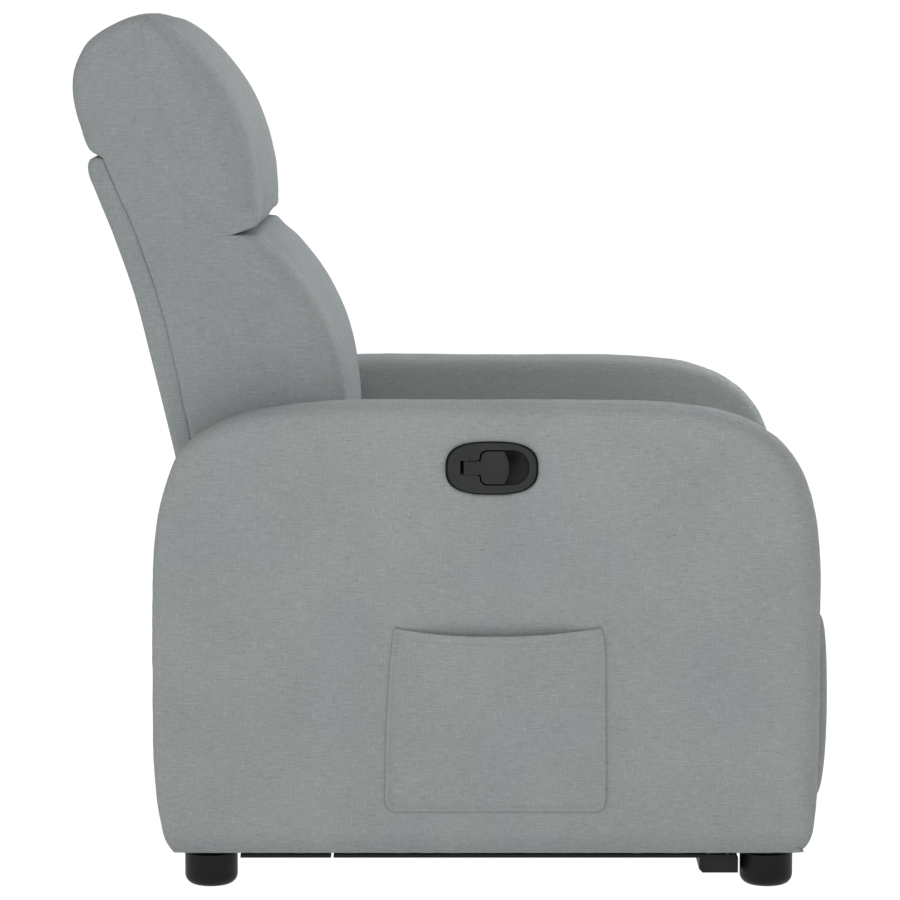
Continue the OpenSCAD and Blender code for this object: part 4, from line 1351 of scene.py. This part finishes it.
rim = [i for i in range(M)] + [j * M + NS for j in range(1, NT + 1)] + [NT * M + i for i in range(NS - 1, -1, -1)] + [j * M for j in range(NT - 1, 0, -1)]
for a, b in zip(rim, rim[1:] + rim[:1]):
    F.append((a, K + a, K + b, b))
pocket = mesh_object("pocket", V, F)
give(pocket, FAB)
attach(pocket, "base")
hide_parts("pocket_panel", "pocket_gusset")


def grid_point(s, t):
    """A point on the pocket's face and the arm's outward direction there."""
    fi, fj = s * NS, t * NT
    i, j = min(int(fi), NS - 1), min(int(fj), NT - 1)
    a, b = fi - i, fj - j
    c = [pocket_grid[j][i], pocket_grid[j][i + 1], pocket_grid[j + 1][i], pocket_grid[j + 1][i + 1]]
    w = [(1 - a) * (1 - b), a * (1 - b), (1 - a) * b, a * b]
    u, z, h = (sum(w[k] * c[k][m] for k in range(4)) for m in range(3))
    return W(arm_x(u, z) - h, u, z)


def inset_path(d, top=True):
    """A line on the pocket at distance d in from its sewn edges."""
    wdt, hgt = PU1 - PU0, PZ1 - PZ0
    ds, dt = d / wdt, d / hgt
    r = 0.055
    path = [(ds, 0.985)] + [(ds, t) for t in np.linspace(0.95, dt + r, 40)]
    path += [(ds + r * (1 - math.cos(a)) * hgt / wdt, dt + r * (1 - math.sin(a))) for a in np.linspace(0.1, math.pi / 2 - 0.1, 7)]
    path += [(s, dt) for s in np.linspace(ds + r, 1 - ds - r, 50)]
    path += [(1 - ds - r * (1 - math.sin(a)) * hgt / wdt, dt + r * (1 - math.cos(a))) for a in np.linspace(0.1, math.pi / 2 - 0.1, 7)]
    path += [(1 - ds, t) for t in np.linspace(dt + r, 0.985, 40)]
    return [grid_point(s, t) for s, t in path]


OUT = Vector((-1, 0, 0))
paths = []
for d in (2.0, 7.2):
    p = inset_path(d)
    paths.append((p, [OUT] * len(p)))
hem = [grid_point(s, 1 - 10.5 / (PZ1 - PZ0)) for s in np.linspace(0.035, 0.965, 60)]
paths.append((hem, [OUT] * len(hem)))
pocket_thread = stitches("pocket_stitching", paths, 3.4, 2.5, 0.24, 0.26)
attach(pocket_thread, "base")

# --------------------------------------------------------------- rear panel
r_lo, r_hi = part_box("rear_panel")
RX, RZ0, RZ1 = r_hi.x * 1000, r_lo.z * 1000 - UP + 8, r_hi.z * 1000 - UP
RU0, RU1 = (MID - r_hi.y) * 1000, (MID - r_lo.y) * 1000
V, F = [], []
NX, NZ = 96, 50
for layer in (0, 1):
    for j in range(NZ + 1):
        for i in range(NX + 1):
            a, b = i / NX, j / NZ
            a = a - 0.09 * math.sin(2 * math.pi * a) / (2 * math.pi) * 4
            b = b - 0.09 * math.sin(2 * math.pi * b) / (2 * math.pi) * 4
            x, z = -RX + 2 * RX * a, RZ0 + (RZ1 - RZ0) * b
            e = min(RX - abs(x), z - RZ0, RZ1 - z)
            roll = 3.0 * (1 - math.sqrt(max(0.0, 1 - (1 - min(e, 3.0) / 3.0) ** 2)))
            u = RU0 - 1.2 * (1 - math.exp(-e / 14.0)) + roll - 0.5 * fbm((x / 1000, 0.7, z / 1000), 8.0, 50.0) * min(1, e / 20)
            u += 0.8 * math.exp(-((e - 9.0) / 1.0) ** 2)
            u += np.interp(z, [44, 50, 60, 70, 90, 120], [7.5, 6.3, 4.0, 2.0, 0.7, 0.0])  # its lower edge is drawn in under the rail
            if layer:
                u = RU1 - roll + np.interp(z, [44, 50, 60], [7.5, 4.5, 0.0])
            V.append(W(x, u, z))
M = NX + 1
K = M * (NZ + 1)
for j in range(NZ):
    for i in range(NX):
        q = (j * M + i, j * M + i + 1, (j + 1) * M + i + 1, (j + 1) * M + i)
        F.append(q)
        F.append(tuple(K + k for k in reversed(q)))
rim = [i for i in range(M)] + [j * M + NX for j in range(1, NZ + 1)] + [NZ * M + i for i in range(NX - 1, -1, -1)] + [j * M for j in range(NZ - 1, 0, -1)]
for a, b in zip(rim, rim[1:] + rim[:1]):
    F.append((a, K + a, K + b, b))
rear = mesh_object("rear_panel_cover", V, F)
give(rear, FAB)
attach(rear, "base")
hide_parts("rear_panel")
e = 9.0
loop = [(-RX + e, RZ0 + e), (-RX + e, RZ1 - e), (RX - e, RZ1 - e), (RX - e, RZ0 + e)]
line = []
for (x0, z0), (x1, z1) in zip(loop, loop[1:] + loop[:1]):
    for t in np.linspace(0.01, 0.99, 40):
        z = z0 + (z1 - z0) * t
        line.append(W(x0 + (x1 - x0) * t, RU0 - 0.25 + np.interp(z, [44, 50, 60, 70, 90, 120], [7.5, 6.3, 4.0, 2.0, 0.7, 0.0]), z))
rear_thread = stitches("rear_panel_stitching", [(line, [Vector((0, 1, 0))] * len(line))], 4.2, 3.1, 0.3, 0.2)
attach(rear_thread, "base")

# --------------------------------------------------------------- CAD pieces
LOOKS = {
    M_FOOT: ["feet"],
    M_BLACK: ["under_rails", "front_cross_bar", "rear_cross_bar", "mechanism_rails", "front_leg_plates",
              "rear_leg_plates", "back_brackets", "footrest_brackets", "release_lever"],
    M_LINK: ["drive_bars", "drive_tube", "guide_bars", "reach_bars", "carrier_bars", "stay_links"],
    M_ZINC: ["foot_studs", "arm_bolts", "cross_bar_bolts", "rail_screws", "spring_clips", "back_hinge_pins",
             "bracket_bolts", "drive_pivot_pins", "drive_rivets", "guide_rivets", "reach_rivets",
             "carrier_rivets", "bracket_screws", "paddle_pin", "release_lever_pin"],
    M_SPRING: ["seat_springs"],
    M_CABLE: ["release_cable"],
    # the rear rail's black backing cloth also stands in as painted shade in the gap behind the rear panel
    FAB_DARK: ["seat_front_rail", "seat_rear_rail", "rear_rail", "footrest_board"],
    M_PINE: ["foot_blocks", "arm_posts", "seat_side_rails",
             "back_posts", "back_top_rail", "back_bottom_rail"],
    M_PLY: ["arm_panel_right", "arm_panel_left"],
    M_WEB: ["back_webbing"],
}
for mat, names in LOOKS.items():
    for n in names:
        give(NODES[n], mat)

# ------------------------------------------------------------ floor, lights
floor_mat = bpy.data.materials.new("floor")
floor_mat.use_nodes = True
fb = floor_mat.node_tree.nodes["Principled BSDF"]
fb.inputs["Base Color"].default_value = (0.10, 0.10, 0.10, 1)
fb.inputs["Roughness"].default_value = 0.9
fb.inputs["Specular IOR Level"].default_value = 0.0
fb.inputs["Emission Color"].default_value = (1, 1, 1, 1)
fb.inputs["Emission Strength"].default_value = 1.0
me = bpy.data.meshes.new("floor")
S = 400.0
me.from_pydata([(-S, -S, 0), (S, -S, 0), (S, S, 0), (-S, S, 0)], [], [(0, 1, 2, 3)])
floor = bpy.data.objects.new("floor", me)
SCN.collection.objects.link(floor)
give(floor, floor_mat)

# a pale studio: a bright wall low down all round, and above it light from each side, brightest from behind
world = bpy.data.worlds.new("world")
SCN.world = world
world.use_nodes = True
wt = world.node_tree
bg = wt.nodes["Background"]
wc = wt.nodes.new("ShaderNodeTexCoord")
wx = wt.nodes.new("ShaderNodeSeparateXYZ")
wt.links.new(wc.outputs["Generated"], wx.inputs[0])


def op(kind, a, b):
    k = wt.nodes.new("ShaderNodeMath")
    k.operation = kind
    for i, v in enumerate((a, b)):
        if isinstance(v, bpy.types.NodeSocket):
            wt.links.new(v, k.inputs[i])
        else:
            k.inputs[i].default_value = v
    return k.outputs[0]


k = wt.nodes.new("ShaderNodeMapRange")
k.interpolation_type = "SMOOTHSTEP"
wt.links.new(wx.outputs[2], k.inputs[0])
for i, v in enumerate((0.06, 0.2, 1.0, 0.0)):
    k.inputs[1 + i].default_value = v
wall = k.outputs[0]
sky = None
for axis, sign, power in ((0, -1.0, 0.55), (0, 1.0, 0.05), (1, -1.0, 0.08), (1, 1.0, 1.30), (2, 1.0, 0.26)):
    lobe = op("POWER", op("MAXIMUM", op("MULTIPLY", wx.outputs[axis], sign), 0.0), 2.0)
    lobe = op("MULTIPLY", lobe, power)
    sky = lobe if sky is None else op("ADD", sky, lobe)
sky = op("MULTIPLY", op("SUBTRACT", 1.0, wall), sky)
wt.links.new(op("ADD", op("MULTIPLY", wall, 1.02), sky), bg.inputs[1])
bg.inputs[0].default_value = (1.0, 1.0, 1.0, 1)


def softbox(name, at, to, power, size):
    """A round soft light at one place, turned to another."""
    d = bpy.data.lights.new(name, "AREA")
    d.energy = power
    d.shape = "DISK"
    d.size = size
    o = bpy.data.objects.new(name, d)
    SCN.collection.objects.link(o)
    o.location = Vector(at)
    o.rotation_mode = "QUATERNION"
    o.rotation_quaternion = (Vector(to) - Vector(at)).to_track_quat("-Z", "Y")
    return o


softbox("softbox_front", (1.3, -1.2, 1.7), (0, 0.2, 0.75), 23.5, 1.0)
softbox("softbox_low", (1.0, -1.8, 1.4), (0, 0.2, 0.75), 13.5, 1.0)
softbox("softbox_side", (-1.9, -0.2, 1.9), (0, 0.2, 0.75), 16.5, 1.0)
softbox("softbox_top", (0.5, 0.2, 2.2), (0, 0.2, 0.75), 4.0, 1.0)
SCN.view_settings.view_transform = "Standard"
SCN.view_settings.look = "None"
SCN.view_settings.exposure = 0.0
SCN.view_settings.gamma = 1.0
